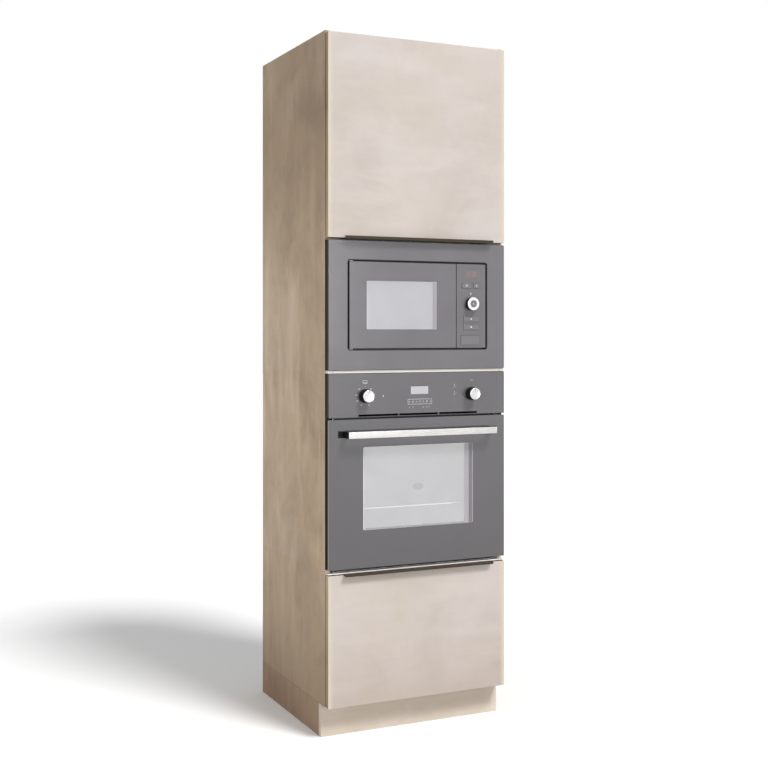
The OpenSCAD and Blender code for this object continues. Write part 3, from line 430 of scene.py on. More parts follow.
def glowing(name, base, glow, strength):
    material, tree, shader, place = newMaterial(name)
    smudge = useGroup(tree, smudgeGroup, {"Place": place, "Base": linear(base),
                                          "Roughness": 0.3, "Spread": 0.05})
    lit = mixColours(tree, 1.0, linear(glow), smudge["Color"], "MULTIPLY")
    fill(tree, shader, {"Base Color": smudge["Color"], "Emission Color": lit,
                        "Emission Strength": strength})
    return material


# the side and front boards carry painted shade below and above their height belt, and the fronts a
# painted highlight near their left and right edges
sideBoard = laminate("sideBoard", "#d0b898", "#a38a6f", "#dfc9ad", 0.85, (2.4, 2.4, 0.5), "#cdbba2",
                     "#b18f70", ((0.1, 0.6, 1.25, 1.8), "#cfc8c1"), 0.075, "#f3ece6")
frontBoard = laminate("frontBoard", "#c5bab9", "#b1a6a2", "#cbc1bf", 0.9, (0.6, 0.6, 2.4),
                      "#e2dad0", "#bfb3a9", ((-0.1, 0.42, 3.0, 4.0), "#e8e1da"), 0.05, "#f7f5ec",
                      (0.28, 0.296, "#dacdba", 0.85))
plinthBoard = laminate("plinthBoard", "#dccdbf", "#c9b7a5", "#e0d4c8", 0.9, (0.5, 0.5, 5.0),
                       "#e0d6c8", "#d0baa4", mottle=0.04)
# the plinth sides carry painted shade below and above their height belt
plinthSide = laminate("plinthSide", "#c0a48a", "#977c64", "#cbb198", 0.85, (2.4, 2.4, 0.5),
                      "#c2ab94", "#a98567", ((0.1, 0.6, 1.25, 1.8), "#d9d0c8"), 0.075, "#f0e6de")
creamBand = laminate("creamBand", "#d9cbbb", "#cfc0ae", "#e0d4c6", 0.6)
edgeBand = laminate("edgeBand", "#f2eee9", "#ebe6df", "#f6f3ee", 0.6)
shelfBoard = laminate("shelfBoard", "#ebe8e3", "#dfdad2", "#ecebe7", 0.5)
drawerBoard = laminate("drawerBoard", "#e6e3de", "#dedad4", "#ecebe7", 0.3)
bronze = brushed("bronzeAnodised", "#1e1813", 0.65, (0.02, 1, 1), 0.06, 0.0, 0.05, 0.1, 0.06)
zincSteel = brushed("zincSteel", "#c3c5c7", 0.34, (1, 0.03, 1), 0.08, 1.0, 0.06)
satinBar = brushed("satinHandle", "#cccac8", 0.26, (0.01, 1, 1), 0.05, 0.85, 0.04)
chromeWire = gloss("chromeWire", "#dcdcdc", 0.12, 0.04, 0.0, 1.0)
knobMetal = gloss("knobMetal", "#dcdcdc", 0.18, 0.03, 0.2, 0.7)
ringWhite = gloss("ringWhite", "#f4f4f4", 0.22, 0.03, 0.2, 0.3)
panelGloss = gloss("panelGloss", "#6d6b6f", 0.16, 0.03, 0.6)
ovenPanel = gloss("ovenPanel", "#656367", 0.16, 0.03, 0.6)
# the door glass has a painted reflection, lighter towards its top
doorGlass = gloss("doorGlass", "#4c484c", 0.06, 0.02, 1.0, 0.0, 900.0, 0.0, 0.9,
                  (0.5, 0.95, "#443f43", "#535155"))
trimGloss = gloss("trimGloss", "#706e72", 0.14, 0.03, 0.6)
ovenWindow = paneGlass("ovenWindow", "#dbdbdd", 0.66, 0.12, 0.6)
middlePane = paneGlass("middlePane", "#d3d3d6", 0.84, 0.3)
innerPane = paneGlass("innerPane", "#e3e5e6", 0.45)
microwaveWindow = paneGlass("microwaveWindow", "#d7d7dc", 0.62, 0.08)
turntableGlass = paneGlass("turntableGlass", "#cfe0df", 0.45, 0.05)
displayPale = gloss("displayPale", "#c4c2ca", 0.12, 0.02, 0.8)
displayDark = gloss("displayDark", "#716c70", 0.1, 0.02, 0.8)
blackPlastic = gloss("blackPlastic", "#1d1d1f", 0.42, 0.06, 0.0, 0.0, 1400.0, 0.12)
knobBlack = gloss("knobBlack", "#0d0c0d", 0.5, 0.04, 0.0, 0.0, 1400.0, 0.1, 0.2)
# near-black for painted shade on the appliances' sides and bevels
paintedShadeBlack = gloss("paintedShadeBlack", "#2b2118", 0.6, 0.05, 0.0, 0.0, 1400.0, 0.1, 0.2)
seamBrown = gloss("seamBrown", "#8d745c", 0.6, 0.05, 0.0, 0.0, 900.0, 0.1, 0.2)
# dark brown: the dark joints, and painted shade on edges that lie in shade
shadeAndJointBrown = gloss("shadeAndJointBrown", "#3a3028", 0.6, 0.05, 0.0, 0.0, 900.0, 0.1, 0.2)
greyPlastic = gloss("greyPlastic", "#757276", 0.25, 0.04, 0.3)
palePlastic = gloss("palePlastic", "#dddad4", 0.4, 0.05)
darkEnamel = gloss("darkEnamel", "#4a4b50", 0.2, 0.05, 0.5, 0.0, 240.0, 0.1)
paleEnamel = gloss("paleEnamel", "#d9d9d7", 0.3, 0.05, 0.3, 0.0, 300.0, 0.08)
heaterTube = gloss("heaterTube", "#6a635c", 0.5, 0.08, 0.0, 0.6, 700.0, 0.2)
siliconeSeal = gloss("siliconeSeal", "#2c2c2e", 0.6, 0.05)
printPale = gloss("printPale", "#d9d9dc", 0.35, 0.03)
printSoft = gloss("printSoft", "#a9a7ab", 0.35, 0.03)
printFaint = gloss("printFaint", "#b4b5ba", 0.3, 0.03)
printBright = gloss("printBright", "#f4f4f4", 0.35, 0.03)
printGrey = gloss("printGrey", "#3c3b3e", 0.4, 0.03)
spacerDark = gloss("spacerDark", "#1f1e21", 0.6, 0.03, specular=0.2)
revealGrey = gloss("revealGrey", "#2e2d30", 0.5, 0.03)
doorScreen = gloss("doorScreen", "#d0d0d5", 0.5, 0.03)
ledOrange = glowing("ledOrange", "#96776c", "#ff9a6a", 0.06)
# painted shade for the upper fixed shelf's front edge
shelfShade = gloss("shelfShade", "#9b938c", 0.5, 0.03)
# painted highlights, painted shade and bands laid over the windows' panes
glint = paneGlass("windowGlint", "#fbfbfd", 0.5, 0.3)
softGlint = paneGlass("windowSoftGlint", "#e9e7ef", 0.5, 0.3)
faintShade = paneGlass("windowShade", "#9a9a9d", 0.14, 0.3)
blobShade = paneGlass("windowBlob", "#9c9c9f", 0.06, 0.5)
bandPale = paneGlass("windowBandPale", "#c9c5cc", 0.45, 0.3)
bandSoft = paneGlass("windowBandSoft", "#bdb9c0", 0.5, 0.3)
bandShade = paneGlass("windowBand", "#837f85", 0.85, 0.3)
printDark = gloss("printDark", "#4a484b", 0.4, 0.03)
print("materials made:", len(bpy.data.materials))


dressing = (  # material, edge softening in mm, CAD nodes
    (sideBoard, 0.6, "side_panel_left side_panel_right"), (sideBoard, 0.5, "top_panel"),
    (shelfBoard, 0.5, "bottom_panel upper_fixed_shelf niche_shelves"),
    (shelfBoard, 0.3, "back_panels"), (shelfBoard, 0.6, "loose_shelf"),
    (zincSteel, 0.2, "shelf_pins"), (plinthBoard, 0.6, "plinth_front"),
    (plinthSide, 0.5, "plinth_sides"), (blackPlastic, 0.4, "levelling_legs levelling_feet"),
    (zincSteel, 0.25, "door_hinge_arms"), (zincSteel, 0.2, "door_hinge_links"),
    (zincSteel, 0.25, "door_hinge_cups"), (frontBoard, 0.8, "upper_door_panel"),
    (bronze, 0.35, "upper_door_pull"), (frontBoard, 0.8, "drawer_front"),
    (bronze, 0.35, "drawer_pull"), (drawerBoard, 0.5, "drawer_sides drawer_back"),
    (drawerBoard, 0.3, "drawer_bottom"),
    (zincSteel, 0.3, "runner_cabinet_rails runner_middle_rails runner_drawer_rails"),
    (zincSteel, 0.4, "oven_casing"), (darkEnamel, 0.5, "oven_cavity"),
    (darkEnamel, 0.4, "oven_front_frame"), (siliconeSeal, 0.6, "oven_door_seal"),
    (ovenPanel, 0.5, "oven_control_panel"), (displayPale, 0.15, "oven_display"),
    (knobMetal, 0.4, "oven_knob_left oven_knob_right"),
    (chromeWire, 0, "oven_rack_ladders oven_rack"), (heaterTube, 0, "oven_grill_element"),
    (darkEnamel, 0.4, "oven_fan_cover"), (zincSteel, 0.3, "oven_hinge_brackets oven_hinge_arms"),
    (doorGlass, 0.5, "oven_door_glass"), (blackPlastic, 0.5, "oven_door_frame"),
    (innerPane, 0.3, "oven_inner_glass"), (satinBar, 1.2, "oven_handle"),
    (trimGloss, 0.6, "microwave_trim"), (zincSteel, 0.4, "microwave_casing"),
    (paleEnamel, 0.4, "microwave_cavity"), (zincSteel, 0.4, "microwave_support"),
    (panelGloss, 0.4, "microwave_control_panel"), (displayDark, 0.15, "microwave_display"),
    (blackPlastic, 0.4, "microwave_door_frame"), (doorGlass, 0.4, "microwave_door_glass"),
    (blackPlastic, 0.4, "microwave_knob"),
    (greyPlastic, 0.3, "clock_button power_button start_button stop_button door_release_button"),
    (turntableGlass, 0.4, "turntable"), (palePlastic, 0.3, "roller_ring"),
)
leans = {"front": 0.3, "edge": 0.8, "square": 0.95, "rim": 0.97}  # limits on a unit normal
merging = {"distance": 2e-5, "degrees": 0.4, "alongY": 0.99}
# the side panels' front edges: a painted shade beside the appliances, and cream in the gaps between
# them
sideBands = {"dark": (0.489, 1.481), "cream": ((0.489, 0.504), (1.0845, 1.0935))}  # heights, m
pullLips = {"edge": {"upper_door_pull": 1487.0, "drawer_pull": 488.0},
            "front": -34.0, "clear": 3.0, "below": 2.6, "above": -0.8}


# give a second material to the faces for which wanted(centre, normal) holds
def paintFaces(piece, material, wanted):
    piece.data.materials.append(material)
    index = len(piece.data.materials) - 1
    for face in piece.data.polygons:
        if wanted(face.center, face.normal):
            face.material_index = index


# tests for paintFaces, on axes 0, 1 and 2: a face looking one way, both ways, or away from y
def looking(axis, way, least=leans["front"]):
    return lambda centre, normal: way * normal[axis] > least


def along(axis):
    return lambda centre, normal: abs(normal[axis]) > leans["square"]


def edgeOn(most):
    return lambda centre, normal: abs(normal.y) < most


# cut the faces along level planes, so that parts of them can be painted
def splitAcross(piece, heights):
    openMesh(piece)
    for height in heights:
        bpy.ops.mesh.select_all(action="SELECT")
        bpy.ops.mesh.bisect(plane_co=(0, 0, height), plane_no=(0, 0, 1))
    closeMesh()


def camelName(node):
    words = node.split("_")
    return words[0] + "".join(w.title() for w in words[1:])


# a copy of a CAD node's mesh with its loose triangles merged into faces
def mergedCopy(node, name):
    piece = copyMesh(name, nodes[node].data)
    openMesh(piece)
    bpy.ops.mesh.remove_doubles(threshold=merging["distance"])
    bpy.ops.mesh.dissolve_limited(angle_limit=math.radians(merging["degrees"]))
    closeMesh()
    return piece


def dress(node, material, softening):
    piece = mergedCopy(node, camelName(node))
    if softening:
        softenEdges(piece, softening)
    return finishPiece(smooth(piece), node, material, replaces=True)


def undress(node):
    bpy.data.objects.remove(dressed.pop(node))


# paint the side panels' front edges: painted shade beside the appliances, cream in the gaps; their
# inner faces pale
def paintSidePanels():
    dark, creams = sideBands["dark"], sideBands["cream"]
    for node, inward in (("side_panel_left", 1), ("side_panel_right", -1)):
        piece = dressed[node]
        splitAcross(piece, sorted({*dark, *creams[0], *creams[1]}))
        for material, bands in ((shadeAndJointBrown, (dark,)), (creamBand, creams)):
            paintFaces(piece, material, lambda centre, normal: normal.y < -leans["front"]
                       and any(low < centre.z < high for low, high in bands))
        paintFaces(piece, shelfBoard, looking(0, inward))


def paintFronts():
    for node in ("top_panel", "bottom_panel", "upper_fixed_shelf", "niche_shelves"):
        paintFaces(dressed[node], edgeBand, looking(1, -1))
    # painted shade on the upper fixed shelf's front edge
    paintFaces(dressed["upper_fixed_shelf"], shelfShade, looking(1, -1))
    for node in ("upper_door_panel", "drawer_front"):
        # the fronts' bevels get the pale edge band, which also serves as a painted highlight along
        # their edges
        paintFaces(dressed[node], edgeBand, edgeOn(leans["edge"]))
        # painted shade on the fronts' top and bottom faces
        paintFaces(dressed[node], shadeAndJointBrown, along(2))
        paintFaces(dressed[node], sideBoard, along(0))
    # painted shade on the appliances' side faces and bevels
    for node in ("microwave_trim", "oven_control_panel", "oven_door_frame"):
        paintFaces(dressed[node], paintedShadeBlack, edgeOn(leans["rim"]))


# bring the edge pulls' lips, in front of the boards, a little together
def slimPulls():
    for node, edge in pullLips["edge"].items():
        for vertex in dressed[node].data.vertices:
            rise = vertex.co.z / mm - edge
            if vertex.co.y / mm - frontEdge < pullLips["front"] and abs(rise) > pullLips["clear"]:
                vertex.co.z += pullLips["below" if rise < 0 else "above"] * mm


dressed = {node: dress(node, material, softening) for material, softening, names in dressing
           for node in names.split()}
paintSidePanels()
slimPulls()
paintFronts()
print("nodes dressed:", len(dressed))


# a place in millimetres, y counted from the boards' front edges
def at(x, y, z):
    return Vector((x * mm, (y + frontEdge) * mm, z * mm))


# a block given by its ends along each axis, its corners seen from the front rounded
def slabAt(name, x, y, z, radius=0.0, segments=6):
    piece = block(name, at(x[0], y[0], z[0]), at(x[1], y[1], z[1]))
    if radius:
        roundCorners(piece, radius * mm, segments)
    return piece


# bevel the edges that run along y
def roundCorners(piece, radius, segments):
    pick(piece)
    mesh = piece.data
    for item in list(mesh.polygons) + list(mesh.vertices):
        item.select = False
    for edge in mesh.edges:
        a, b = (mesh.vertices[i].co for i in edge.vertices)
        edge.select = abs((b - a).normalized().y) > merging["alongY"]
    bpy.context.tool_settings.mesh_select_mode = (False, True, False)
    bpy.ops.object.mode_set(mode="EDIT")
    bpy.ops.mesh.bevel(offset=radius, segments=segments, affect="EDGES", clamp_overlap=False)
    closeMesh()


# a round piece along y: steps are (y, radius) from back to front, in millimetres
def turned(name, centre, steps, sides=64):
    deselectAll()
    bpy.ops.mesh.primitive_circle_add(
        vertices=sides, radius=steps[0][1] * mm, fill_type="NGON",
        location=at(centre[0], steps[0][0], centre[1]), rotation=(math.radians(90), 0, 0))
    piece = settle(rename(bpy.context.object, name))
    bpy.context.tool_settings.mesh_select_mode = (False, False, True)
    openMesh(piece)
    for (y0, r0), (y1, r1) in zip(steps, steps[1:]):
        bpy.ops.mesh.extrude_region_move(TRANSFORM_OT_translate={"value": (0, (y1 - y0) * mm, 0)})
        bpy.ops.transform.resize(value=(r1 / r0, 1, r1 / r0),
                                 center_override=at(centre[0], y1, centre[1]))
    bpy.ops.mesh.select_all(action="SELECT")
    bpy.ops.mesh.normals_make_consistent(inside=False)
    closeMesh()
    return piece


# steps counted outwards from the fronts' face
def outward(steps):
    return [(faceY - out, radius) for out, radius in steps]


def grown(ends, by):
    return ends[0] - by, ends[1] + by


def cutWindow(piece, x, z, radius):
    return cut(piece, slabAt("windowCutter", x, (-30, 40), z, radius, 8))


# a rim round a window: reach and opening are how far it goes out and in from these ends
def rimAt(name, x, z, shape, depth):
    rim = slabAt(name, grown(x, shape["reach"]), depth, grown(z, shape["reach"]),
                 shape["outerRadius"])
    return cutWindow(rim, grown(x, shape["opening"]), grown(z, shape["opening"]),
                     shape["innerRadius"])


# the pane of a window, a little behind the face
def glaze(name, front, node, material):
    shape = front["pane"]
    near, far = shape["depth"]
    x, z = (grown(ends, -shape["gap"]) for ends in front["window"])
    pane = slabAt(name, x, (faceY + near, faceY + far), z, front["radius"], 8)
    finishPiece(smooth(pane), node, material)


# thin marks just in front of a window's pane: painted highlights and shade, and bands for what lies
# behind
def placeOverlays(front, node):
    near, far = overlayDepth
    for name, material, x, z in front["overlays"]:
        finishPiece(slabAt(name, x, (faceY + near, faceY + far), z), node, material)


# the CAD pane with its window opening cut out, in place of the dressed copy
def swapGlass(node, name, material, window, radius, softening=0.4):
    undress(node)
    piece = cutWindow(mergedCopy(node, name), *window, radius)
    softenEdges(piece, softening, 2, 60)
    return finishPiece(smooth(piece), node, material, replaces=True)


overlayDepth = (0.02, 0.06)  # behind the face
markThick = 0.15  # small print is thin raised marks, joined to one piece for each panel
markSink = 0.02


# one thin printed bar, centred, turned in the plane of the front
def bar(x, z, w, h, turn=0.0, y=faceY):
    high = (w / 2 * mm, markThick / 2 * mm, h / 2 * mm)
    piece = block("mark", [-value for value in high], high)
    piece.rotation_euler = (0, math.radians(turn), 0)
    piece.location = at(x, y - markThick / 2 + markSink, z)
    return settle(piece)


def frameMark(x, z, w, h, line=0.7, y=faceY):
    across, up = (w - line) / 2, (h - line) / 2
    return [bar(x, z + up, w, line, y=y), bar(x, z - up, w, line, y=y),
            bar(x - across, z, line, h, y=y), bar(x + across, z, line, h, y=y)]


# a thin ring, pressed flat to three tenths of its round wire
def ringMark(x, z, radius, line=0.6, y=faceY):
    deselectAll()
    bpy.ops.mesh.primitive_torus_add(
        major_radius=radius * mm, minor_radius=line / 2 * mm, major_segments=40, minor_segments=6,
        location=at(x, y - markSink, z), rotation=(math.radians(90), 0, 0))
    piece = settle(rename(bpy.context.object, "mark"))
    level = at(0, y, 0).y
    for vertex in piece.data.vertices:
        vertex.co.y = level + (vertex.co.y - level) * 0.3
    return piece


def dotMark(x, z, radius, y=faceY):
    return turned("mark", (x, z), [(y + 0.05, radius), (y - markThick, radius)], 20)


segmentsOf = {"0": "abcdef", "1": "bc", "2": "abged", "3": "abgcd", "4": "fgbc", "5": "afgcd",
              "6": "afgedc", "7": "abc", "8": "abcdefg", "9": "abcdfg"}
digitSpacing = {"step": 1.42, "colonStep": 0.66, "colonPlace": 0.12, "colonRise": 0.2}


# seven-segment digits from the left end x, centred on z; spacings are parts of their size
def digitMarks(text, x, z, w, h, line, y, lean=0.0):
    marks = []
    bw, bh = w - line, h / 2 - line
    spots = {"a": (w / 2, h / 2, bw, line), "g": (w / 2, 0, bw, line),
             "d": (w / 2, -h / 2, bw, line), "b": (w, h / 4, line, bh), "c": (w, -h / 4, line, bh),
             "f": (0, h / 4, line, bh), "e": (0, -h / 4, line, bh)}
    for sign in text:
        if sign == ":":
            marks += [bar(x + w * digitSpacing["colonPlace"],
                          z + way * h * digitSpacing["colonRise"], line, line, y=y)
                      for way in (-1, 1)]
            x += w * digitSpacing["colonStep"]
            continue
        for dx, dz, wide, high in (spots[part] for part in segmentsOf[sign]):
            marks.append(bar(x + dx + lean * dz, z + dz, wide, high, y=y))
        x += w * digitSpacing["step"]
    return marks


def markPiece(name, marks, node, material):
    return finishPiece(smooth(joinAll(marks, name)), node, material)


screwShape = {"head": 3.4, "height": 1.3, "slot": 0.7, "arm": 4.2}
screwSpots = {  # node: (prefix, way the heads look, spots in millimetres)
    "door_hinge_cups": ("cupScrew", (0, 1, 0), [
        (-275.5, -0.2, z + way * 24) for z in (1587, 1994) for way in (-1, 1)]),
    "door_hinge_arms": ("hingePlateScrew", (1, 0, 0), [
        (-281.4, 37, z + way * 16) for z in (1587, 1994) for way in (-1, 1)]),
    "oven_casing": ("ovenBackScrew", (0, 1, 0), [
        (x, 529.9, z) for x in (-266, 0, 266) for z in (504, 1060)] + [
        (x, 529.9, z) for x in (-266, 266) for z in (690, 875)]),
    "microwave_casing": ("microwaveBackScrew", (0, 1, 0), [
        (x, 364.9, z) for x in (-217, 0, 217) for z in (1172, 1404)]),
}


# a pan head with a cross recess, facing -y, centred on the frame's zero
def makeScrew():
    head, height, slot, arm = (screwShape[k] for k in ("head", "height", "slot", "arm"))
    screw = turned("screw", (0, 0), [(0.4, head), (0.0, head), (-0.7, head * 0.93),
                                     (-height, head * 0.55)], 28)
    low, high = -height - 0.5, -height + 0.9
    for across, up in ((arm / 2, slot / 2), (slot / 2, arm / 2)):
        cut(screw, block("slotCutter", at(-across, low, -up), at(across, high, up)))
    screw.data.transform(Matrix.Translation(-at(0, 0, 0)))
    return smooth(screw)


def placeScrews():
    model = makeScrew()
    for node, (prefix, facing, spots) in screwSpots.items():
        turn = Vector((0, -1, 0)).rotation_difference(Vector(facing)).to_matrix().to_4x4()
        for index, spot in enumerate(spots, 1):
            name = prefix + str(index)
            screw = rename(copyMesh(name, model.data), name)
            screw.data.transform(Matrix.Translation(at(*spot)) @ turn)
            finishPiece(screw, node, zincSteel)
    bpy.data.objects.remove(model)


ovenFront = {
    "window": ((-186.5, 186.5), (616.0, 864.5)), "radius": 5.0,
    "pane": {"gap": 0.15, "depth": (0.1, 3.9)},
    "spacer": {"reach": 4.4, "opening": 0.4, "outerRadius": 7, "innerRadius": 5.5},
    "spacerDepths": (("ovenSpacerFront", (faceY + 4.2, -4.2)), ("ovenSpacerBack", (-0.9, 9.6))),
    "overlays": (
        # painted highlights for the lit rack and the window's left and right edges, paler and
        # darker bands for the panes' frames behind, and a painted shade along the bottom
        ("ovenGlintRack", glint, (-182.0, 112.0), (679.0, 682.8)),
        ("ovenGlintRackEnd", softGlint, (112.0, 140.0), (679.8, 682.0)),
        ("ovenGlintLeft", softGlint, (-186.0, -181.6), (619.0, 861.5)),
        ("ovenBandInner", bandPale, (156.0, 171.0), (616.5, 864.0)),
        ("ovenBandOuter", bandShade, (171.2, 184.0), (617.0, 864.0)),
        ("ovenGlintRight", bandPale, (184.2, 186.2), (619.0, 861.5)),
        ("ovenShadeLow", faintShade, (-181.0, 156.0), (616.5, 621.5))),
    "blob": {"steps": [(faceY + 0.06, 14.0), (faceY + 0.03, 13.0)], "stretch": (1.3, 1.0, 0.75),
             "place": (-4.0, 738.0)},
    "innerPrint": {"x": (-174.0, 174.0), "z": (628.0, 853.0), "depth": (9.2, 9.7), "reach": 2,
                   "outerRadius": 6, "innerRadius": 4},
    "betweenPanes": 4,
}


def makeOvenDoor():
    window = ovenFront["window"]
    swapGlass("oven_door_glass", "ovenDoorGlass", doorGlass, window, ovenFront["radius"])
    glaze("ovenWindowPane", ovenFront, "oven_door_glass", ovenWindow)
    for name, depth in ovenFront["spacerDepths"]:
        spacer = rimAt(name, *window, ovenFront["spacer"], depth)
        finishPiece(smooth(spacer), "oven_door_frame", spacerDark)
    makeInnerPanes()
    placeOverlays(ovenFront, "oven_door_glass")
    makeWindowBlob()
    shape = ovenFront["innerPrint"]
    rim = slabAt("ovenInnerPrint", grown(window[0], shape["reach"]), shape["depth"],
                 grown(window[1], shape["reach"]), shape["outerRadius"])
    cutWindow(rim, shape["x"], shape["z"], shape["innerRadius"])
    finishPiece(rim, "oven_inner_glass", printGrey)


def makeWindowBlob():
    shape = ovenFront["blob"]
    blob = turned("ovenWindowShade", (0.0, 0.0), shape["steps"])
    openMesh(blob)
    bpy.ops.transform.resize(value=shape["stretch"], center_override=(0, 0, 0))
    bpy.ops.transform.translate(value=(shape["place"][0] * mm, 0, shape["place"][1] * mm))
    closeMesh()
    finishPiece(blob, "oven_door_glass", blobShade)


# the middle pane in its seat and the inner pane, told apart by their place
def makeInnerPanes():
    undress("oven_inner_glass")
    between = (0, at(0, ovenFront["betweenPanes"], 0).y, 0)
    for name, isMiddle, material in (("ovenMiddleGlass", True, middlePane),
                                     ("ovenInnerGlass", False, innerPane)):
        pane = mergedCopy("oven_inner_glass", name)
        openMesh(pane)
        bpy.ops.mesh.bisect(plane_co=between, plane_no=(0, 1, 0), clear_outer=isMiddle,
                            clear_inner=not isMiddle)
        closeMesh()
        finishPiece(smooth(softenEdges(pane, 0.3)), "oven_inner_glass", material,
                    replaces=isMiddle)


ovenLamp = {  # steps: (y, radius) from the back wall to the room
    "place": (-163.0, 852.0),
    "glass": ((429.0, 21.5), (426.0, 21.5), (422.5, 20.0), (419.5, 16.5), (417.6, 11.0),
              (416.8, 5.0)),
    "bulb": ((428.8, 7.0), (426.0, 7.0), (425.5, 5.0), (420.0, 5.0), (418.6, 3.0)),
}


# the domed glass of the oven's lamp in its bezel on the back wall, and its bulb
def makeLampGlass():
    for name, shape, sides, angle, material in (
            ("ovenLampGlass", "glass", 48, 60, turntableGlass),
            ("ovenLampBulb", "bulb", 32, 40, palePlastic)):
        piece = turned(name, ovenLamp["place"], ovenLamp[shape], sides)
        finishPiece(smooth(piece, angle), "oven_cavity", material)


ovenHandle = {"half": 250.0, "z": (893.5, 913.5), "front": -62.0, "deep": 12.0, "barInset": 0.5,
              "endWide": 14, "endInset": 0.3, "endBack": 0.8, "foot": (-15, 17), "footThick": 0.5,
              "barEdge": 1.6, "endEdge": 0.8, "footEdge": 0.2}


def makeHandle():
    undress("oven_handle")
    shape = ovenHandle
    front, half = shape["front"], shape["half"]
    barPiece = slabAt("ovenHandleBar", grown((-half, half), -shape["barInset"]),
                      (front, front + shape["deep"]), shape["z"])
    softenEdges(barPiece, shape["barEdge"], 4)
    finishPiece(smooth(barPiece), "oven_handle", satinBar, replaces=True)
    zs = grown(shape["z"], -shape["endInset"])
    for side, word in ((-1, "Left"), (1, "Right")):
        xs = sorted((side * half, side * (half - shape["endWide"])))
        end = slabAt("ovenHandleEnd" + word, xs, (front + shape["endBack"], faceY), zs)
        finishPiece(smooth(softenEdges(end, shape["endEdge"], 3)), "oven_handle", knobBlack)
        xs = sorted(side * (half + reach) for reach in shape["foot"])
        plate = slabAt("ovenHandleFoot" + word, xs,
                       (faceY - shape["footThick"], faceY - markSink), zs)
        finishPiece(softenEdges(plate, shape["footEdge"]), "oven_handle", knobBlack)


ovenKnob = {  # steps: (distance out from the panel, radius)
    "x": 179.5, "z": 1016.6, "tip": faceY - 29.5,
    "barrel": ((0.5, 20.5), (2.2, 20.5), (3.0, 19.7), (3.4, 18.1), (26.3, 17.6), (26.5, 17.0),
               (26.9, 17.0)),
    "cap": ((26.7, 17.9), (28.3, 17.9), (29.1, 17.2), (29.5, 16.2), (29.5, 15.2), (29.0, 14.4),
            (28.9, 2.0)),
    "slot": {"half": 0.7, "depth": (-1, 1.4), "rise": (8.5, 30)},
    "pointer": {"half": 0.6, "depth": (0.9, 1.4), "rise": (8.6, 16.6)},
}


# an upright slab in front of the knob's tip
def pointerAt(name, x, shape):
    return slabAt(name, grown((x, x), shape["half"]), [ovenKnob["tip"] + y for y in shape["depth"]],
                  [ovenKnob["z"] + z for z in shape["rise"]])


def makeOvenKnobs():
    for side, word in ((-1, "Left"), (1, "Right")):
        node = "oven_knob_" + word.lower()
        undress(node)
        x = side * ovenKnob["x"]
        centre = (x, ovenKnob["z"])
        barrel = turned("ovenKnobBarrel" + word, centre, outward(ovenKnob["barrel"]))
        finishPiece(smooth(barrel, 40), node, knobBlack, replaces=True)
        cap = turned("ovenKnobCap" + word, centre, outward(ovenKnob["cap"]))
        cut(cap, pointerAt("pointerCutter", x, ovenKnob["slot"]))
        finishPiece(smooth(cap, 40), node, knobMetal)
        pointer = pointerAt("ovenKnobPointer" + word, x, ovenKnob["pointer"])
        finishPiece(pointer, node, blackPlastic)


ovenPrint = {
    "dial": {"reach": 28.5, "drop": 1.0, "functions": (-155, -118, -80, -42, 0, 42, 80, 118, 155),
             "degrees": (-155, -112, -72, 72, 112, 155), "number": (1.9, 3.4, 0.55),
             "symbol": (5.0, 4.0, 0.6), "line": (2.8, 0.6), "lineRise": 1.1, "dot": 0.9},
    "signs": {"x": 179.5, "z": 1058.0, "frame": (14.0, 10.0, 1.0), "line": (8.0, 1.0),
              "stripe": (0.9, 7.5, 18), "step": 4.5},
    "lamps": {"x": 121.5, "z": (1019.0, 1041.0), "ring": (3.0, 0.8)},
    "keys": {"x": -32.5, "step": 11.7, "z": 995.8, "frame": (2.5, 81.4, 16.0)},
    "ticks": {"x": (-32.5, -20.8, 14.3, 26.0, 34.0), "z": ((979.5, 3.2), (977.0, 2.0))},
    "clock": (-17.0, 1030.2, 6.2, 12.5, 1.3),
}


# plain symbols round the function dial, and numbers round the heat dial
def dialMarks():
    marks, faint = [], []
    dial = ovenPrint["dial"]
    for side, angles in ((-1, dial["functions"]), (1, dial["degrees"])):
        for index, angle in enumerate(angles):
            turn = math.radians(angle)
            x = side * ovenKnob["x"] + dial["reach"] * math.sin(turn)
            z = ovenKnob["z"] - dial["drop"] + dial["reach"] * math.cos(turn)
            if side == 1:
                faint += digitMarks(str(index + 1), x - 1.0, z, *dial["number"], faceY)
            elif angle == 0:
                marks.append(dotMark(x, z, dial["dot"]))
            else:
                rise = dial["lineRise"] if index % 2 else -dial["lineRise"]
                marks += frameMark(x, z, *dial["symbol"]) + [bar(x, z + rise, *dial["line"])]
    return marks, faint


def keySymbols():
    keys = ovenPrint["keys"]
    z = keys["z"]
    middle, wide, high = keys["frame"]
    marks = frameMark(middle, z, wide, high, 0.9)
    for k in range(7):
        x = keys["x"] + k * keys["step"]
        if k == 3:
            marks.append(ringMark(x, z, 2.6))
        elif k in (0, 6):
            marks += [bar(x, z, 5.0, 0.8), bar(x, z, 0.8, 5.0)]
        elif k % 2:
            marks += frameMark(x, z, 5.6, 5.0, 0.7)
        else:
            marks += [bar(x - 1.2, z, 0.8, 5.6, 30), bar(x + 1.2, z, 0.8, 5.6, -30)]
    return marks


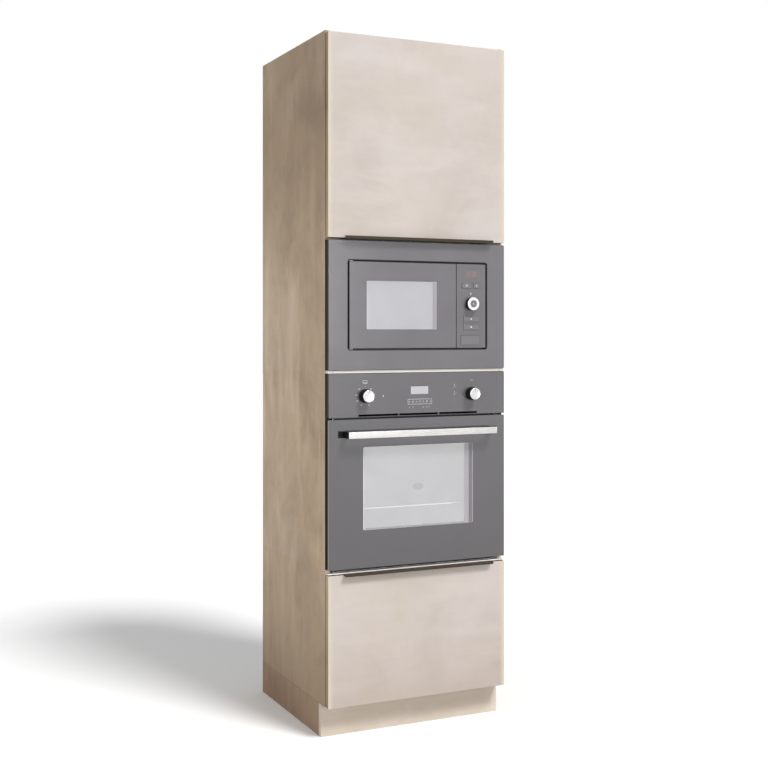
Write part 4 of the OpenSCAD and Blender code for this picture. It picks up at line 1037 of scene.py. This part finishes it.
def makeOvenPrint():
    marks, faint = dialMarks()
    signs, lamps = ovenPrint["signs"], ovenPrint["lamps"]
    x, z = signs["x"], signs["z"]
    marks += frameMark(-x - 0.5, z, *signs["frame"]) + [bar(-x - 0.5, z - 1.5, *signs["line"])]
    faint += [bar(x - 3 + k * signs["step"], z, *signs["stripe"]) for k in range(3)]
    x = lamps["x"]
    for z in lamps["z"]:
        faint += [ringMark(x, z - 3.0, *lamps["ring"]), bar(x, z + 3.5, 2.0, 6.0),
                  bar(x + 7, z, 3.6, 0.7)]
    markPiece("ovenPanelFaintPrint", faint, "oven_control_panel", printSoft)
    marks += keySymbols()
    marks += [bar(x, z, wide, 0.8) for x in ovenPrint["ticks"]["x"]
              for z, wide in ovenPrint["ticks"]["z"]]
    markPiece("ovenPanelPrint", marks, "oven_control_panel", printPale)
    digits = digitMarks("12:00", *ovenPrint["clock"], faceY)
    markPiece("ovenClockDigits", digits, "oven_display", printFaint)


microwaveFront = {
    "window": ((-174.5, 60.5), (1215.0, 1361.0)), "radius": 3.0,
    "pane": {"gap": 0.1, "depth": (0.1, 2.9)},
    "screen": {"reach": 3.5, "depth": (-1.6, -1.0), "radius": 2},
    "reveal": {"reach": 2.0, "opening": -0.2, "outerRadius": 4, "innerRadius": 2.4},
    "revealDepth": (faceY + 3.2, -1.8),
    # a pale band of painted light over the reveal at the right, and a painted highlight along the
    # window's left edge
    "overlays": (("microwaveBand", bandSoft, (46.0, 60.2), (1217.0, 1359.0)),
                 ("microwaveGlint", softGlint, (-174.2, -170.3), (1217.0, 1359.0))),
}


def makeMicrowaveDoor():
    window, shape = microwaveFront["window"], microwaveFront["screen"]
    glass = swapGlass("microwave_door_glass", "microwaveDoorGlass", panelGloss, window,
                      microwaveFront["radius"])
    glaze("microwaveWindowPane", microwaveFront, "microwave_door_glass", microwaveWindow)
    screen = slabAt("microwaveDoorScreen", grown(window[0], shape["reach"]), shape["depth"],
                    grown(window[1], shape["reach"]), shape["radius"])
    finishPiece(screen, "microwave_door_frame", doorScreen)
    reveal = rimAt("microwaveWindowReveal", *window, microwaveFront["reveal"],
                   microwaveFront["revealDepth"])
    finishPiece(reveal, "microwave_door_frame", revealGrey)
    placeOverlays(microwaveFront, "microwave_door_glass")
    # painted shade: the glass's sides and bevels in near-black
    paintFaces(glass, paintedShadeBlack, edgeOn(leans["rim"]))


seams = {"shelfEnd": 284, "half": 0.5, "shelfDepth": (-0.12, 0.3),
         "shelves": ((478.5, 493.5), (1080.5, 1095.5)),
         "plinth": {"x": (299.0, 300.12), "y": (0.4, 559.0), "z": (98.9, 100.5)}}
coverStrips = {"half": 297.4, "front": -16.0, "back": -0.1, "joint": 281.6, "jointHalf": 0.5,
               "jointDepth": (-0.1, 0.3), "jointInset": 0.4, "edge": 0.5,
               "heights": ((490.6, 494.0), (1084.8, 1093.2))}


# the fine dark joints at the ends of the shelves' front edges
def makeBoardJoints():
    marks = [slabAt("joint", grown((side * seams["shelfEnd"],) * 2, seams["half"]),
                    seams["shelfDepth"], zs) for side in (-1, 1) for zs in seams["shelves"]]
    finishPiece(joinAll(marks, "boardJoints"), "niche_shelves", shadeAndJointBrown)


# the dark joint between the side panels and the plinth below them
def makePlinthSeams():
    shape = seams["plinth"]
    lines = [slabAt("seam", sorted(side * x for x in shape["x"]), shape["y"], shape["z"])
             for side in (-1, 1)]
    finishPiece(joinAll(lines, "plinthSeams"), "plinth_sides", seamBrown)


# pale cover strips that close the slots above and below the oven
def makeCoverStrips():
    shape = coverStrips
    front, half = shape["front"], shape["half"]
    strips = []
    for zs in shape["heights"]:
        strip = slabAt("strip", (-half, half), (front, shape["back"]), zs)
        strips.append(smooth(softenEdges(strip, shape["edge"], 3)))
    finishPiece(joinAll(strips, "nicheCoverStrips"), "niche_shelves", edgeBand)
    marks = [slabAt("joint", grown((side * shape["joint"],) * 2, shape["jointHalf"]),
                    [front + y for y in shape["jointDepth"]], grown(zs, -shape["jointInset"]))
             for side in (-1, 1) for zs in shape["heights"]]
    finishPiece(joinAll(marks, "stripJoints"), "niche_shelves", shadeAndJointBrown)


seamShadeSheet = {"x": (-230.5, 230.5), "z": (1158.5, 1417.5),
             "wall": {"reach": 5.9, "opening": 4.4, "outerRadius": 8, "innerRadius": 6.5},
             "back": {"reach": 5.9, "opening": 0.3, "outerRadius": 8, "innerRadius": 3},
             "wallDepth": (faceY + 0.6, 2.8), "backDepth": (1.2, 2.8)}


# a dark sheet behind the seams round the microwave's door and panel, a painted shade in the seams
def makeSeamShadeSheet():
    ends = seamShadeSheet["x"], seamShadeSheet["z"]
    wall, back = (rimAt("seamShadeSheet", *ends, seamShadeSheet[k], seamShadeSheet[k + "Depth"])
                  for k in ("wall", "back"))
    finishPiece(joinAll([smooth(wall), back], "microwaveSeamShadeSheet"), "microwave_trim",
                blackPlastic)


microwaveKnob = {  # steps: (distance out from the panel, radius)
    "centre": (179.5, 1294.5),
    "parts": (
        ("Barrel", knobBlack, ((0.5, 19.7), (15.2, 19.5), (15.6, 19.0), (16.0, 19.0))),
        ("Ring", ringWhite, ((15.8, 20.0), (16.8, 20.0), (17.7, 19.3), (18.0, 18.4), (18.0, 12.2),
                             (17.4, 11.6), (16.2, 11.5))),
        ("Hub", greyPlastic, ((16.0, 11.3), (17.0, 11.2), (17.3, 10.4), (16.7, 2.0)))),
    "dot": ((16.7, 1.8), (17.0, 1.8), (17.1, 1.2)),
}


def makeMicrowaveKnob():
    undress("microwave_knob")
    centre = microwaveKnob["centre"]
    for word, material, steps in microwaveKnob["parts"]:
        part = turned("microwaveKnob" + word, centre, outward(steps))
        finishPiece(smooth(part, 40), "microwave_knob", material, replaces=word == "Barrel")
    dot = turned("microwaveKnobDot", centre, outward(microwaveKnob["dot"]), 24)
    finishPiece(dot, "microwave_knob", printPale)


microwavePrint = {
    "pointer": (-1.0, 31.5, 2.4, 6.5), "tickReach": 24.8, "tickTurns": range(-135, 136, 27),
    "surrounds": (  # x, z, width and height of the frames round the keys
        (163.65, 1351.0, 33.6, 17.4), (198.25, 1351.0, 21.8, 17.4), (179.5, 1247.6, 56.4, 18.6),
        (179.5, 1222.7, 56.4, 18.8), (176.2, 1181.9, 67.4, 31.2)),
    "clock": (161.0, 1386.8, 6.0, 14.5, 1.5), "clockLean": 0.08,
    "spots": (("start_button", 179.5, 1247.6), ("stop_button", 179.5, 1222.7)),
    "spotSteps": [(-21.4, 2.3), (-21.65, 2.2)], "keyFace": -21.5,
}


def makeMicrowavePrint():
    shape = microwavePrint
    x0, z0 = microwaveKnob["centre"]
    dx, dz, wide, high = shape["pointer"]
    markPiece("microwaveDialPointer", [bar(x0 + dx, z0 + dz, wide, high)],
              "microwave_control_panel", printPale)
    marks = []
    for k, angle in enumerate(shape["tickTurns"]):
        turn = math.radians(angle)
        marks.append(bar(x0 + shape["tickReach"] * math.sin(turn),
                         z0 + shape["tickReach"] * math.cos(turn),
                         0.6, 2.4 if k % 2 else 3.6, angle))
    markPiece("microwaveDialTicks", marks, "microwave_control_panel", printSoft)
    marks = [mark for spot in shape["surrounds"] for mark in frameMark(*spot, 0.9)]
    markPiece("microwaveButtonSurrounds", marks, "microwave_control_panel", printDark)
    digits = digitMarks("12:30", *shape["clock"], faceY, shape["clockLean"])
    markPiece("microwaveClockDigits", digits, "microwave_display", ledOrange)
    for node, x, z in shape["spots"]:
        spot = turned("print" + camelName(node).title(), (x, z), shape["spotSteps"], 24)
        finishPiece(spot, node, printBright)
    y = shape["keyFace"]
    clock = [ringMark(163.6, 1351.0, 3.0, 0.7, y), bar(163.6, 1352.2, 0.7, 2.4, y=y),
             bar(164.6, 1351.0, 2.0, 0.7, y=y)]
    markPiece("clockButtonPrint", clock, "clock_button", printBright)
    power = [bar(198.2, 1351.0, 0.8, 5.6, way * 30, y=y) for way in (-1, 0, 1)]
    markPiece("powerButtonPrint", power, "power_button", printBright)


placeScrews()
makeOvenDoor()
makeLampGlass()
makeHandle()
makeOvenKnobs()
makeOvenPrint()
makeBoardJoints()
makeCoverStrips()
makePlinthSeams()
makeMicrowaveDoor()
makeSeamShadeSheet()
makeMicrowaveKnob()
makeMicrowavePrint()
print("appliance fronts made")


floor = {"size": 60.0, "colour": "#ffffff", "bounce": "#b5b3b0", "lift": 0.03, "rough": 0.9}
suns = {  # the way each light comes from, its strength and softness
    "key": {"from": (0.23, -0.56, 0.79), "strength": 2.3, "angle": 16},
    "front": {"from": (0.16, -0.98, 0.04), "strength": 0.9, "angle": 24},
    "side": {"from": (-0.96, -0.24, 0.12), "strength": 0.75, "angle": 60},
}
skyStrength = 0.42
white = (1, 1, 1, 1)
cameraPose = {"place": (-1.6803, -3.6813, 1.2104), "turn": -25.8, "focalPixels": 1249.5,
              "centre": (410.1, 331.0), "sensor": 36.0}


# the background seen by the camera, and in gloss and glass, is plain white
def cameraWhite(tree, shown, usual):
    path = addNode(tree, "LightPath").outputs
    seen = maths(tree, "MAXIMUM", path["Is Camera Ray"], path["Is Glossy Ray"])
    seen = maths(tree, "MAXIMUM", seen, path["Is Transmission Ray"])
    return addNode(tree, "MixShader", {0: seen, 1: usual, 2: shown}).outputs[0]


def makeWorld():
    world = bpy.data.worlds.new("studio")
    bpy.context.scene.world = world
    world.use_nodes = True
    tree = world.node_tree
    usual = fill(tree, tree.nodes["Background"], {0: white, 1: skyStrength})
    shown = addNode(tree, "Background", {0: white, 1: 1.0})
    surface = cameraWhite(tree, shown.outputs[0], usual.outputs[0])
    fill(tree, tree.nodes["World Output"], {"Surface": surface})


def makeFloor():
    deselectAll()
    bpy.ops.mesh.primitive_plane_add(size=floor["size"], location=(0, 0, 0))
    piece = rename(bpy.context.object, "studioFloor")
    material, tree, shader, place = newMaterial("studioFloor")
    path = addNode(tree, "LightPath").outputs
    tone = mixColours(tree, path["Is Diffuse Ray"], linear(floor["colour"]),
                      linear(floor["bounce"]))
    lift = maths(tree, "MULTIPLY", path["Is Camera Ray"], floor["lift"])
    fill(tree, shader, {"Base Color": tone, "Emission Strength": lift, "Emission Color": white,
                        "Roughness": floor["rough"], "Specular IOR Level": 0.0})
    piece.data.materials.append(material)


def makeLamps():
    for name, sun in suns.items():
        data = bpy.data.lights.new(name, "SUN")
        data.energy = sun["strength"]
        data.angle = math.radians(sun["angle"])
        light = bpy.data.objects.new(name, data)
        bpy.context.scene.collection.objects.link(light)
        light.rotation_euler = Vector(sun["from"]).to_track_quat("Z", "Y").to_euler()


def makeCamera():
    data = bpy.data.cameras.new("camera")
    camera = bpy.data.objects.new("camera", data)
    bpy.context.scene.collection.objects.link(camera)
    data.sensor_width = cameraPose["sensor"]
    data.lens = cameraPose["focalPixels"] / pixels * cameraPose["sensor"]
    data.shift_x = (pixels / 2 - cameraPose["centre"][0]) / pixels
    data.shift_y = (cameraPose["centre"][1] - pixels / 2) / pixels
    camera.location = cameraPose["place"]
    camera.rotation_euler = (math.radians(90), 0, math.radians(cameraPose["turn"]))
    bpy.context.scene.camera = camera


makeWorld()
makeFloor()
makeLamps()
makeCamera()
bpy.context.scene.view_settings.view_transform = "Standard"
print("stage, lamps and camera set")
